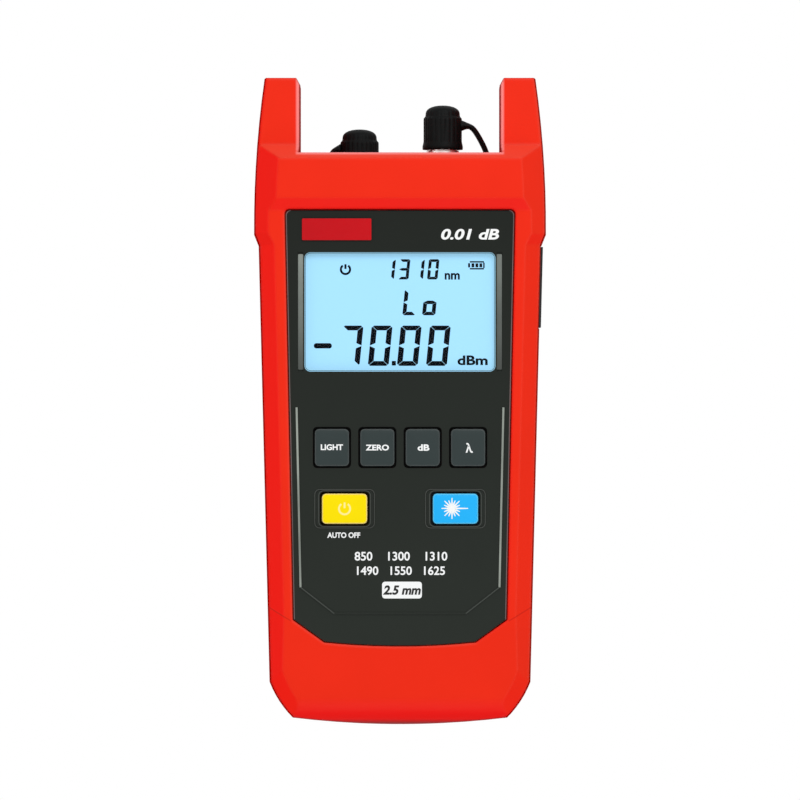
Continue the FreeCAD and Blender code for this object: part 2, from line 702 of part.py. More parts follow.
def make_rear_shell():
    """Back half: battery bay, screw columns, lower half of the connector trough."""
    body = new_body("rear_shell")
    loft_housing(body, [
        (d.split, sized(0), sized(0), sized(0)),
        (d.back_chamfer, d.side_draft, d.side_draft, d.side_draft),
        (sized(0), d.side_draft + d.back_inset, d.side_draft + d.back_inset,
         d.side_draft + d.back_inset),
    ])
    island = rectangle(sized(0), battery_mid, battery_half * 2 + d.bay_wall * 2,
                       battery_long + d.bay_wall * 2)
    cavity = cavity_outline(foot + d.end_wall + d.side_draft + d.back_inset)
    sketch = outline_sketch(body, "rear_cavity", [cavity, island], lift=d.split)
    pocket(body, sketch, d.split - d.wall)
    lid = outline_sketch(body, "rear_bay_top", [rectangle(sized(0), battery_mid, battery_half * 2 +
                         d.bay_wall * 2, battery_long + d.bay_wall * 2)], lift=d.split)
    pocket(body, lid, d.split - battery_roof - d.bay_wall)
    bay = rectangle(sized(0), battery_mid, battery_half * 2, battery_long)
    sketch = outline_sketch(body, "battery_bay", [bay], lift=sized(0))
    pocket(body, sketch, battery_roof, upwards=True)
    seat = rectangle(sized(0), battery_mid, (battery_half + d.door_lip + d.door_gap) * 2,
                     battery_long + d.door_lip * 2 + d.door_gap * 2, d.key_round)
    sketch = outline_sketch(body, "door_seat", [seat], lift=sized(0))
    pocket(body, sketch, door_top, upwards=True)

    trough = rectangle(sized(0), (deck_y + top) / 2, d.bay_half * 2, top - deck_y)
    sketch = outline_sketch(body, "rear_trough", [trough], lift=d.split)
    pocket(body, sketch, d.split - d.trough_low)
    port_cutters(body, "rear")

    columns = circles_sketch(body, "rear_columns", screw_places(), d.boss_radius, d.wall)
    pad(body, columns, d.split - d.wall)
    holes = circles_sketch(body, "rear_holes", screw_places(), d.screw_radius + d.screw_play, d.split)
    pocket(body, holes, d.split)
    sinks = circles_sketch(body, "rear_sinks", screw_places(), d.screw_head + d.head_play, sized(0))
    pocket(body, sinks, d.screw_sink + d.screw_head_high, upwards=True)
    cut_port_opening(body, "rear")


def make_front_panel():
    """Dark overlay with the window, the key holes and the raised lines."""
    body = new_body("front_panel")
    outlines = [panel_outline(sized(0))]
    outlines.append(rectangle(sized(0), window_y, d.window_wide, d.window_tall, d.window_round))
    for _, x, y, wide, tall in key_places():
        outlines.append(rectangle(x, y, wide + d.key_gap * 2, tall + d.key_gap * 2, d.key_round))
    sketch = outline_sketch(body, "panel_plan", outlines, lift=floor_z)
    pad(body, sketch, d.panel_thick)

    strips = []
    strip_x = d.window_wide / 2 + d.strip_gap + d.strip_wide / 2
    for side in (-1, 1):
        strips.append(rectangle(strip_x * side, window_y, d.strip_wide, d.window_tall))
    sketch = outline_sketch(body, "panel_strips", strips, lift=panel_z)
    pocket(body, sketch, d.strip_deep)

    half = d.line_wide / 2
    line_top = panel_top - d.line_top_drop
    line_knee = panel_top - d.line_knee_drop
    line_toe = panel_top - d.line_toe_drop
    outer = [
        corner(d.line_top_half + half, line_top),
        corner(d.line_low_half + half, line_knee - half / 2),
        corner(d.line_toe_half + half / 2, line_toe - half),
    ]
    inner = [
        corner(d.line_toe_half - half / 2, line_toe + half),
        corner(d.line_low_half - half, line_knee + half / 2),
        corner(d.line_top_half - half, line_top),
    ]
    left_outer = [corner(-c.x, c.y) for c in reversed(outer)]
    left_inner = [corner(-c.x, c.y) for c in reversed(inner)]
    line = outer + left_outer + left_inner + inner
    sketch = outline_sketch(body, "panel_line", [line], lift=panel_z)
    pad(body, sketch, d.line_high)

    frames = []
    for name, x, y, wide, tall in key_places():
        if name in dict(WIDE_KEYS):
            frames.append(rectangle(x, y, wide + d.frame_wide * 2, tall + d.frame_tall * 2,
                                    d.key_round))
            frames.append(rectangle(x, y, wide + d.key_gap * 2, tall + d.key_gap * 2, d.key_round))
    sketch = outline_sketch(body, "panel_frames", frames, lift=panel_z)
    pad(body, sketch, d.frame_high)


def make_key(name, x, y, wide, tall):
    """A key with its collar below the shell and a chamfered top."""
    body = new_body(name)
    collar_x = wide + d.key_collar * 2
    collar_y = tall + d.key_collar * 2
    collar = rectangle(sized(0), sized(0), collar_x, collar_y)
    pad(body, outline_sketch(body, name + "_collar", [collar]), d.collar_thick)
    stem = rectangle(sized(0), sized(0), wide, tall, d.key_round)
    sketch = outline_sketch(body, name + "_stem", [stem], lift=d.collar_thick)
    high = key_top - collar_top
    pad(body, sketch, high)
    summit = body.Shape.BoundBox.ZMax
    bevel_edges(body, d.key_edge, lambda edge: edge.BoundBox.ZMin > summit - 0.01)
    put(body, x, y, collar_low)


def make_keypad_mat():
    """Rubber mat on the board, with one dome under each key."""
    body = new_body("keypad_mat")
    half = d.wide_key_half + d.wide_key_wide / 2 + d.mat_over
    high = key_row + d.key_tall / 2 + d.mat_over
    low = wide_row - d.wide_key_tall / 2 - d.mat_over
    mat = rectangle(sized(0), (high + low) / 2, half * 2, high - low, d.key_round)
    pad(body, outline_sketch(body, "mat_plan", [mat], lift=board_top), d.mat_thick)
    crown = collar_low - d.key_travel - d.dome_gap
    for name, x, y, _, _ in key_places():
        wide = [rectangle(x, y, d.dome_low, d.dome_low)]
        base = outline_sketch(body, name + "_dome_low", wide, lift=board_top + d.mat_thick)
        narrow = [rectangle(x, y, d.dome_high, d.dome_high)]
        peak = outline_sketch(body, name + "_dome_high", narrow, lift=crown)
        loft = body.newObject("PartDesign::AdditiveLoft", name + "_dome")
        loft.Profile = base
        loft.Sections = [peak]
        loft.Ruled = True
        doc.recompute()


def make_display():
    """Stepped clear lens, display glass and its light guide, stacked on the board."""
    lens = new_body("display_lens")
    wide = d.window_wide + d.lens_flange * 2
    tall = d.window_tall + d.lens_flange * 2
    flange = rectangle(sized(0), window_y, wide, tall)
    pad(lens, outline_sketch(lens, "lens_flange_plan", [flange], lift=lens_low), d.flange_thick)
    face = rectangle(sized(0), window_y, d.window_wide - d.lens_gap * 2,
                     d.window_tall - d.lens_gap * 2, d.window_round - d.lens_gap)
    sketch = outline_sketch(lens, "lens_face_plan", [face], lift=floor_z)
    pad(lens, sketch, d.panel_thick - d.lens_sink)

    glass = new_body("display_glass")
    plan = rectangle(sized(0), window_y, wide, tall)
    pad(glass, outline_sketch(glass, "glass_plan", [plan], lift=glass_low), d.glass_thick)

    guide = new_body("light_guide")
    plan = rectangle(sized(0), window_y, wide, tall)
    sketch = outline_sketch(guide, "guide_plan", [plan], lift=board_top)
    pad(guide, sketch, glass_low - board_top)


def make_board():
    """Main circuit board, hung from the front shell's posts."""
    body = new_body("main_board")
    high = top - d.board_head_drop
    low = foot + d.board_foot_rise
    plan = rectangle(sized(0), (high + low) / 2, d.board_half * 2, high - low, d.board_round)
    sketch = outline_sketch(body, "board_plan", [plan], lift=board_top)
    pad(body, sketch, d.board_thick, downwards=True)


def make_brand_plate():
    """Thin bare plate set in the panel's top left corner."""
    body = new_body("brand_plate")
    plan = rectangle(-d.plate_left, panel_top - d.plate_drop, d.plate_wide, d.plate_tall, d.panel_gap)
    pad(body, outline_sketch(body, "plate_plan", [plan], lift=panel_z), d.plate_thick)


# ---------------------------------------------------------------- ports, caps and tethers
def make_port(name, side, x, rise):
    """Metal ferrule port: flange behind the deck, neck through it, barrel inside the cap."""
    body = new_body(name)
    neck_end = rise - d.neck_gap
    barrel = d.cap_radius - d.cap_wall - d.barrel_play
    barrel_end = rise + d.cap_long - d.cap_top - d.barrel_short
    back = -d.port_wall - d.flange_long
    profile = [
        corner(d.ferrule_radius, back),
        corner(d.port_flange, back),
        corner(d.port_flange, -d.port_wall),
        corner(d.neck_radius, -d.port_wall),
        corner(d.neck_radius, neck_end),
        corner(barrel, neck_end),
        corner(barrel, barrel_end),
        corner(d.ferrule_radius, barrel_end),
    ]
    revolve(body, outline_sketch(body, name + "_profile", [profile]))
    put(body, x * side, deck_y, d.split)


def make_cap(name, side, x, rise):
    """Rubber dust cap: a flared cup with a narrower nose and a sloped top."""
    body = new_body(name)
    bore = d.cap_radius - d.cap_wall
    profile = [
        corner(bore, sized(0)),
        corner(d.cap_flare, sized(0)),
        corner(d.cap_flare, d.cap_rim),
        corner(d.cap_radius, d.cap_rim + d.cap_flare - d.cap_radius),
        corner(d.cap_radius, d.cap_shoulder),
        corner(d.cap_nose, d.cap_shoulder + d.cap_radius - d.cap_nose),
        corner(d.cap_nose, d.cap_long - d.cap_slope),
        corner(d.cap_nose - d.cap_crease, d.cap_long - d.cap_crease),
        corner(d.cap_nose - d.cap_slope, d.cap_long),
        corner(sized(0), d.cap_long),
        corner(sized(0), d.cap_long - d.cap_top),
        corner(bore, d.cap_long - d.cap_top),
    ]
    revolve(body, outline_sketch(body, name + "_profile", [profile]))
    put(body, x * side, deck_y + rise, d.split)


def make_tether(name, side, x, rise):
    """Flat rubber tether: a ring round the port's neck and a loop up to the cap's side."""
    body = new_body(name)
    ring = [
        corner(d.neck_radius + d.ring_play, sized(0)),
        corner(d.ring_radius, sized(0)),
        corner(d.ring_radius, d.ring_thick),
        corner(d.neck_radius + d.ring_play, d.ring_thick),
    ]
    revolve(body, outline_sketch(body, name + "_ring", [ring]))
    near = d.cap_flare + d.tether_gap
    far = near + d.tether_reach
    root = rise + d.tether_root
    thick = d.tether_thick
    start = d.ring_radius - d.ring_play
    low = root * d.tether_knee
    inner_low = low - thick
    climb = root + thick / 2 - low
    swing = (d.tether_reach * d.tether_reach + climb * climb) / (d.tether_reach * 2)
    diagonal = math.sqrt(0.5)
    centre = far - swing
    loop = [
        corner(start * side, sized(0)),
        corner((far - low) * side, sized(0),
               via=((far - low * (1 - diagonal)) * side, low * (1 - diagonal))),
        corner(far * side, low,
               via=((centre + swing * diagonal) * side, low + swing * diagonal)),
        corner(near * side, root + thick / 2),
        corner(near * side, root - thick / 2,
               via=((centre + (swing - thick) * diagonal) * side, low + (swing - thick) * diagonal)),
        corner((far - thick) * side, low,
               via=((far - thick - inner_low * (1 - diagonal)) * side,
                    thick + inner_low * (1 - diagonal))),
        corner((far - low) * side, thick),
        corner(start * side, thick),
    ]
    pad(body, outline_sketch(body, name + "_loop", [loop]), d.tether_wide, both_ways=True)
    put(body, x * side, deck_y, d.split)


def make_sources():
    """The detector's can and the laser's body, each behind its port."""
    back = deck_y - d.port_wall - d.flange_long
    for name, x, radius, long in (
        ("detector", -d.meter_x, d.detector_radius, d.detector_long),
        ("laser_module", d.laser_x, d.laser_radius, d.laser_long),
    ):
        body = new_body(name)
        profile = [
            corner(sized(0), -long),
            corner(radius * 0.82, -long),
            corner(radius * 0.82, -long * 0.3),
            corner(radius, -long * 0.3),
            corner(radius, sized(0)),
            corner(sized(0), sized(0)),
        ]
        revolve(body, outline_sketch(body, name + "_profile", [profile]))
        put(body, x, back, d.split)


# ---------------------------------------------------------------- charging port
def make_port_cover():
    """Rubber flap over the charging jack, hinged at its lower end."""
    body = new_body("port_cover")
    high, low, outer_high, outer_low = port_cover_plan(sized(0))
    flap = [
        corner(outer_low - d.cover_thick, low),
        corner(outer_low, low),
        corner(outer_high, high),
        corner(outer_high - d.cover_thick, high),
    ]
    sketch = outline_sketch(body, "cover_plan", [flap], lift=d.split)
    pad(body, sketch, d.cover_high, both_ways=True)
    middle = (high + low) / 2
    inner = (outer_high + outer_low) / 2 - d.cover_thick
    plug = rectangle(inner - d.plug_deep / 2 + 0.3, middle, d.plug_deep + 0.6, d.plug_long)
    sketch = outline_sketch(body, "plug_plan", [plug], lift=d.split)
    pad(body, sketch, d.plug_high, both_ways=True)


def make_jack():
    """Charging jack against the inside of the right wall, with its bore and pin."""
    body = new_body("charge_jack")
    high, low, _, outer_low = port_cover_plan(sized(0))
    middle = (high + low) / 2
    face = outer_low - d.cover_proud - d.side_wall - d.cavity_draft - d.jack_play
    block = rectangle(face - d.jack_deep / 2, middle, d.jack_deep, d.jack_long)
    sketch = outline_sketch(body, "jack_plan", [block], lift=d.split)
    pad(body, sketch, d.jack_high, both_ways=True)
    bore = new_sketch(body, "jack_bore", "YZ_Plane", lift=face)
    draw_circle(bore, middle, d.split, d.jack_bore)
    draw_circle(bore, middle, d.split, d.jack_pin)
    pocket(body, bore, d.jack_bore_deep)


# ---------------------------------------------------------------- battery bay
def make_battery_door():
    """Battery door with a finger scoop at its lower end."""
    body = new_body("battery_door")
    plan = rectangle(sized(0), battery_mid, (battery_half + d.door_lip) * 2,
                     battery_long + d.door_lip * 2, d.key_round)
    pad(body, outline_sketch(body, "door_plan", [plan], lift=d.door_sink), d.door_thick)
    scoop = rectangle(sized(0), battery_low + d.latch_long / 2, d.latch_wide, d.latch_long,
                      d.key_round)
    sketch = outline_sketch(body, "door_scoop", [scoop], lift=d.door_sink)
    pocket(body, sketch, d.latch_deep, upwards=True)


def add_cylinder(name, radius, height):
    """A cylinder along +Y."""
    cylinder = doc.addObject("Part::Cylinder", name)
    cylinder.setExpression("Radius", radius.text)
    cylinder.setExpression("Height", height.text)
    cylinder.Placement.Rotation = FreeCAD.Rotation(FreeCAD.Vector(1, 0, 0), -90)
    return cylinder


def make_cells():
    """Three cells side by side; the middle one lies the other way round."""
    for i, step in enumerate((-1, 0, 1), start=1):
        can = add_cylinder(f"cell_{i}_can", d.cell_radius, d.cell_long)
        button = add_cylinder(f"cell_{i}_button", d.button_radius, d.button_long)
        if step == 0:
            can_y = battery_low + d.contact_thick + d.button_long
            button_y = battery_low + d.contact_thick
        else:
            can_y = battery_high - d.contact_thick - d.button_long - d.cell_long
            button_y = battery_high - d.contact_thick - d.button_long
        put(can, d.cell_pitch * step, can_y, cell_z)
        put(button, d.cell_pitch * step, button_y, cell_z)
        cell = doc.addObject("Part::Fuse", f"cell_{i}")
        cell.Base = can
        cell.Tool = button
        cell.Label = f"cell_{i}"
        PIECES.append(cell)


def make_contacts():
    """Contact plates at both ends of the bay, each negative one with its spring."""
    solids = []
    for step in (-1, 0, 1):
        springy_low = step != 0
        for low_end in (True, False):
            plate = doc.addObject("Part::Box", "contact_plate")
            plate.setExpression("Length", d.contact_wide.text)
            plate.setExpression("Width", d.contact_thick.text)
            plate.setExpression("Height", d.contact_wide.text)
            end = battery_low if low_end else battery_high - d.contact_thick
            put(plate, d.cell_pitch * step - d.contact_wide / 2, end, cell_z - d.contact_wide / 2)
            solids.append(plate)
            if low_end != springy_low:
                continue
            spring = doc.addObject("Part::Cone", "contact_spring")
            spring.setExpression("Radius1", d.spring_radius.text)
            spring.setExpression("Radius2", d.button_radius.text)
            spring.setExpression("Height", d.spring_long.text)
            turn = -90 if low_end else 90
            spring.Placement.Rotation = FreeCAD.Rotation(FreeCAD.Vector(1, 0, 0), turn)
            start = battery_low + d.contact_thick if low_end else battery_high - d.contact_thick
            put(spring, d.cell_pitch * step, start, cell_z)
            solids.append(spring)
    group = doc.addObject("Part::Compound", "battery_contacts")
    group.Links = solids
    group.Label = "battery_contacts"
    PIECES.append(group)


# ---------------------------------------------------------------- screws
def make_screws():
    """Four machine screws from the back, each with a hexagon drive."""
    screws = []
    for i, (x, y) in enumerate(screw_places(), start=1):
        head = doc.addObject("Part::Cylinder", f"screw_{i}_head")
        head.setExpression("Radius", d.screw_head.text)
        head.setExpression("Height", d.screw_head_high.text)
        put(head, x, y, d.screw_sink)
        shank = doc.addObject("Part::Cylinder", f"screw_{i}_shank")
        shank.setExpression("Radius", d.screw_radius.text)
        shank.setExpression("Height", (d.split + d.screw_deep - d.screw_sink - d.screw_head_high).text)
        put(shank, x, y, d.screw_sink + d.screw_head_high)
        whole = doc.addObject("Part::Fuse", f"screw_{i}_blank")
        whole.Base = head
        whole.Tool = shank
        drive = doc.addObject("Part::Prism", f"screw_{i}_drive")
        drive.Polygon = 6
        drive.setExpression("Circumradius", (d.drive_across / math.sqrt(3)).text)
        drive.setExpression("Height", d.drive_deep.text)
        put(drive, x, y, d.screw_sink)
        screw = doc.addObject("Part::Cut", f"screw_{i}")
        screw.Base = whole
        screw.Tool = drive
        screws.append(screw)
    group = doc.addObject("Part::Compound", "shell_screws")
    group.Links = screws
    group.Label = "shell_screws"
    PIECES.append(group)


# ---------------------------------------------------------------- assembly
make_front_shell()
make_rear_shell()
make_front_panel()
make_brand_plate()
for key in key_places():
    make_key(*key)
make_keypad_mat()
make_display()
make_board()
for port, side, x, rise in (
    ("meter", -1, d.meter_x, d.meter_cap_rise),
    ("laser", 1, d.laser_x, d.laser_cap_rise),
):
    make_port(f"{port}_port", side, x, rise)
    make_cap(f"{port}_cap", side, x, rise)
    make_tether(f"{port}_tether", side, x, rise)
make_sources()
make_port_cover()
make_jack()
make_battery_door()
make_cells()
make_contacts()
make_screws()
doc.recompute()

# ---------------------------------------------------------------- checks and output
for item in doc.Objects:
    if "Invalid" in item.State or "Error" in item.State:
        raise RuntimeError(f"{item.Name}: {item.State}")
os.makedirs("parts", exist_ok=True)
for piece in PIECES:
    shape = piece.Shape
    if shape.isNull() or not shape.isValid():
        raise RuntimeError(f"{piece.Label} has no valid shape")
    shape.exportStep(f"parts/{piece.Label}.step")
    box = shape.BoundBox
    print(f"{piece.Label:18s} {len(shape.Solids)} solids {shape.Volume:10.1f} mm3 "
          f"X {box.XMin:7.2f} {box.XMax:7.2f} Y {box.YMin:7.2f} {box.YMax:7.2f} "
          f"Z {box.ZMin:6.2f} {box.ZMax:6.2f}")
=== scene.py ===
"""Handheld optical power meter: the finishes, display, keys, print, caps, light and camera.

The script goes from the room round the meter to its housing, panel, display and keys, then
to the connector end, the charging port and the parts inside. Lengths are in metres.
"""
import math

import bmesh
import bpy
from mathutils import Matrix, Vector
from mathutils.bvhtree import BVHTree


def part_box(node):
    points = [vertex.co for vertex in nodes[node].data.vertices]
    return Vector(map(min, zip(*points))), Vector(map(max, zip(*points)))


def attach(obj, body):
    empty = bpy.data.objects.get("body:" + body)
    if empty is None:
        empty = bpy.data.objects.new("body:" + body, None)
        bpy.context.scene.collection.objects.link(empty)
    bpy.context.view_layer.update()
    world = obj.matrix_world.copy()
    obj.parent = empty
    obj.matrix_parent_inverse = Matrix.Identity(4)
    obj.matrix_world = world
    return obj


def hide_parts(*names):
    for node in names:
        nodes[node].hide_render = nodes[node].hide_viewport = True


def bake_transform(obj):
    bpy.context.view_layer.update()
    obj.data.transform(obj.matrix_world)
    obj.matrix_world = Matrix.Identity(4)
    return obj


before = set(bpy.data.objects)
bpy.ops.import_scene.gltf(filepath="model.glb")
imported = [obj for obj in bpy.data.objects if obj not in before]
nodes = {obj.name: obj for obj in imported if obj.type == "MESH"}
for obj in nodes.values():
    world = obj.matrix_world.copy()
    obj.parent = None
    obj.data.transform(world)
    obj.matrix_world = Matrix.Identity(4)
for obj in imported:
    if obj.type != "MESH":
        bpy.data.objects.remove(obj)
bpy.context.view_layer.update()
scene = bpy.context.scene
MM = 0.001


# ---- Camera
# Straight above the display, through a long lens, as for a catalogue picture. The field is the
# width that it takes in at the height of the housing's widest line.
lens_mm = 300.0
sensor_mm = 36.0
field = 0.2456
belt_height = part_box("rear_shell")[1].z
aim_y = 0.5 * MM
camera_data = bpy.data.cameras.new("camera")
camera_data.lens = lens_mm
camera_data.sensor_width = sensor_mm
camera_data.clip_end = 20.0
camera = bpy.data.objects.new("camera", camera_data)
camera.location = (0.0, aim_y, belt_height + field * lens_mm / sensor_mm)
scene.collection.objects.link(camera)
scene.camera = camera


# ---- Floor
# A matt white studio floor, well below the meter. It is seen and mirrored as plain white, as in
# a cut-out catalogue picture, and from underneath it lets the meter's back be seen.
floor_half = 3.0
floor_drop = 400.0 * MM
bm = bmesh.new()
bmesh.ops.create_grid(bm, x_segments=1, y_segments=1, size=floor_half)
bmesh.ops.translate(bm, vec=(0, 0, -floor_drop), verts=bm.verts)
floor_mesh = bpy.data.meshes.new("floor")
bm.to_mesh(floor_mesh)
bm.free()
floor = bpy.data.objects.new("floor", floor_mesh)
scene.collection.objects.link(floor)
floor_paint = bpy.data.materials.new("floor_paint")
floor_paint.use_nodes = True
tree = floor_paint.node_tree
tree.nodes.remove(tree.nodes["Principled BSDF"])


def seen_amount(tree):
    """1 for rays that show a thing to the camera, directly, in gloss or through glass."""
    rays = tree.nodes.new("ShaderNodeLightPath")
    total = rays.outputs["Is Camera Ray"]
    for kind in ("Is Glossy Ray", "Is Transmission Ray"):
        either = tree.nodes.new("ShaderNodeMath")
        either.operation = "MAXIMUM"
        tree.links.new(total, either.inputs[0])
        tree.links.new(rays.outputs[kind], either.inputs[1])
        total = either.outputs[0]
    return total


def mix_shaders(tree, amount, first, second):
    """The output of a mix of two shaders' outputs."""
    mix = tree.nodes.new("ShaderNodeMixShader")
    tree.links.new(amount, mix.inputs["Fac"])
    tree.links.new(first, mix.inputs[1])
    tree.links.new(second, mix.inputs[2])
    return mix.outputs["Shader"]


matt_white = tree.nodes.new("ShaderNodeBsdfDiffuse")
matt_white.inputs["Color"].default_value = (0.9, 0.9, 0.9, 1)
own_white = tree.nodes.new("ShaderNodeEmission")
from_below = tree.nodes.new("ShaderNodeNewGeometry")
no_floor = tree.nodes.new("ShaderNodeBsdfTransparent")
paint = mix_shaders(tree, seen_amount(tree), matt_white.outputs["BSDF"],
                    own_white.outputs["Emission"])
tree.links.new(mix_shaders(tree, from_below.outputs["Backfacing"], paint,
                           no_floor.outputs["BSDF"]),
               tree.nodes["Material Output"].inputs["Surface"])
floor_mesh.materials.append(floor_paint)


# ---- Lamps
# One large soft lamp above the connector end, a little to the right, a weak one on each other
# side, and an even white room.
def soft_lamp(name, place, wide, power):
    """A square area lamp that shines on the origin."""
    data = bpy.data.lights.new(name, "AREA")
    data.shape = "SQUARE"
    data.size = wide
    data.energy = power
    lamp = bpy.data.objects.new(name, data)
    lamp.location = place
    lamp.rotation_euler = Vector(place).to_track_quat("Z", "Y").to_euler()
    scene.collection.objects.link(lamp)


soft_lamp("key_lamp", (0.30, 0.70, 0.95), 0.6, 6.6)
soft_lamp("left_lamp", (-0.95, 0.1, 0.75), 0.8, 1.6)
soft_lamp("foot_lamp", (0.2, -0.95, 0.8), 0.8, 3.2)
room = bpy.data.worlds.new("white_room")
room.use_nodes = True
tree = room.node_tree
lit = tree.nodes["Background"]
lit.inputs["Color"].default_value = (1, 1, 1, 1)
lit.inputs["Strength"].default_value = 0.5
seen = tree.nodes.new("ShaderNodeBackground")
seen.inputs["Color"].default_value = (1, 1, 1, 1)
tree.links.new(mix_shaders(tree, seen_amount(tree), lit.outputs["Background"],
                           seen.outputs["Background"]),
               tree.nodes["World Output"].inputs["Surface"])
scene.world = room
scene.view_settings.view_transform = "Standard"


# ---- Housing shells and battery door
# Injection-moulded ABS in signal red, screwed together from the back. The mould leaves a fine
# spark-eroded grain and slightly softened edges, and the gloss varies a little over each face.
def srgb(red, green, blue):
    """A colour written as 0 to 255, as the linear values that shaders take."""
    def linear(value):
        value /= 255.0
        return value / 12.92 if value <= 0.04045 else ((value + 0.055) / 1.055) ** 2.4
    return linear(red), linear(green), linear(blue), 1.0


def moulded_grain():
    """Node group: a grained normal with rounded edges, that normal without its grain, a slow
    mottle and a mask of the edges."""
    group = bpy.data.node_groups.new("moulded_grain", "ShaderNodeTree")
    for label, start in (("Grain Size", 0.3), ("Depth", 0.1), ("Soft Edge", 0.4)):
        socket = group.interface.new_socket(label, in_out="INPUT", socket_type="NodeSocketFloat")
        socket.default_value = start
    group.interface.new_socket("Normal", in_out="OUTPUT", socket_type="NodeSocketVector")
    group.interface.new_socket("Lean", in_out="OUTPUT", socket_type="NodeSocketVector")
    group.interface.new_socket("Mottle", in_out="OUTPUT", socket_type="NodeSocketFloat")
    group.interface.new_socket("Edge", in_out="OUTPUT", socket_type="NodeSocketFloat")
    make, join = group.nodes.new, group.links.new
    given = make("NodeGroupInput")
    result = make("NodeGroupOutput")
    place = make("ShaderNodeTexCoord")

    # grain: Grain Size is the width of one grain in millimetres
    pitch = make("ShaderNodeMath")
    pitch.operation = "DIVIDE"
    pitch.inputs[0].default_value = 1 / MM
    fine = make("ShaderNodeTexNoise")
    fine.inputs["Detail"].default_value = 3.0
    fine.inputs["Roughness"].default_value = 0.6
    join(given.outputs["Grain Size"], pitch.inputs[1])
    join(place.outputs["Object"], fine.inputs["Vector"])
    join(pitch.outputs[0], fine.inputs["Scale"])

    # rounded edges: Soft Edge is their radius in millimetres
    radius = make("ShaderNodeMath")
    radius.operation = "MULTIPLY"
    radius.inputs[1].default_value = MM
    rounded = make("ShaderNodeBevel")
    rounded.samples = 6
    join(given.outputs["Soft Edge"], radius.inputs[0])
    join(radius.outputs[0], rounded.inputs["Radius"])
    bump = make("ShaderNodeBump")
    bump.inputs["Distance"].default_value = 0.1 * MM
    join(given.outputs["Depth"], bump.inputs["Strength"])
    join(fine.outputs["Fac"], bump.inputs["Height"])
    join(rounded.outputs["Normal"], bump.inputs["Normal"])
    join(rounded.outputs["Normal"], result.inputs["Lean"])
    join(bump.outputs["Normal"], result.inputs["Normal"])

    # mottle: patches of slightly other colour and gloss, one or two centimetres wide
    slow = make("ShaderNodeTexNoise")
    slow.inputs["Scale"].default_value = 60.0
    slow.inputs["Detail"].default_value = 4.0
    join(place.outputs["Object"], slow.inputs["Vector"])
    join(slow.outputs["Fac"], result.inputs["Mottle"])

    # edge mask: where the rounded normal leaves the face's own
    face = make("ShaderNodeNewGeometry")
    agree = make("ShaderNodeVectorMath")
    agree.operation = "DOT_PRODUCT"
    mask = make("ShaderNodeMapRange")
    mask.inputs["From Min"].default_value = 0.99
    mask.inputs["From Max"].default_value = 0.85
    join(rounded.outputs["Normal"], agree.inputs[0])
    join(face.outputs["Normal"], agree.inputs[1])
    join(agree.outputs["Value"], mask.inputs["Value"])
    join(mask.outputs["Result"], result.inputs["Edge"])
    return group


grain_group = moulded_grain()


def moulded(name, color, rough=0.45, grain=0.3, depth=0.1, soft=0.3, mottle=0.04, edge_lighten=0.12,
            specular=0.3, metal=0.0, edge=None):
    """A moulded, turned or printed finish: grain, rounded edges, and edges painted a little paler
    in the edge colour, as a highlight.
    """
    if edge is None:
        edge = [min(1.0, part * 1.4 + 0.02) for part in color[:3]] + [1.0]
    material = bpy.data.materials.new(name)
    material.use_nodes = True
    make, join = material.node_tree.nodes.new, material.node_tree.links.new
    shader = material.node_tree.nodes["Principled BSDF"]
    group = make("ShaderNodeGroup")
    group.node_tree = grain_group
    group.inputs["Grain Size"].default_value = grain
    group.inputs["Depth"].default_value = depth
    group.inputs["Soft Edge"].default_value = soft
    drift = make("ShaderNodeMapRange")
    drift.inputs["From Min"].default_value = 0.3
    drift.inputs["From Max"].default_value = 0.7
    drift.inputs["To Min"].default_value = 1.0 - mottle
    drift.inputs["To Max"].default_value = 1.0 + mottle
    tone = make("ShaderNodeVectorMath")
    tone.operation = "SCALE"
    tone.inputs[0].default_value = color[:3]
    # painted highlight: the edge mask turns the colour towards the paler edge colour
    lit_edges = make("ShaderNodeMix")
    lit_edges.data_type = "RGBA"
    lit_edges.inputs["B"].default_value = edge
    amount = make("ShaderNodeMath")
    amount.operation = "MULTIPLY"
    amount.inputs[1].default_value = edge_lighten
    gloss = make("ShaderNodeMapRange")
    gloss.inputs["From Min"].default_value = 0.3
    gloss.inputs["From Max"].default_value = 0.7
    gloss.inputs["To Min"].default_value = rough * 0.9
    gloss.inputs["To Max"].default_value = min(1.0, rough * 1.1)
    join(group.outputs["Mottle"], drift.inputs["Value"])
    join(drift.outputs["Result"], tone.inputs["Scale"])
    join(tone.outputs["Vector"], lit_edges.inputs["A"])
    join(group.outputs["Edge"], amount.inputs[0])
    join(amount.outputs[0], lit_edges.inputs["Factor"])
    join(lit_edges.outputs["Result"], shader.inputs["Base Color"])
    join(group.outputs["Mottle"], gloss.inputs["Value"])
    join(gloss.outputs["Result"], shader.inputs["Roughness"])
    join(group.outputs["Normal"], shader.inputs["Normal"])
    shader.inputs["Specular IOR Level"].default_value = specular
    shader.inputs["Metallic"].default_value = metal
    return material


def dress(material, *names):
    """Gives CAD nodes their material."""
    for name in names:
        mesh = nodes[name].data
        mesh.materials.clear()
        mesh.materials.append(material)


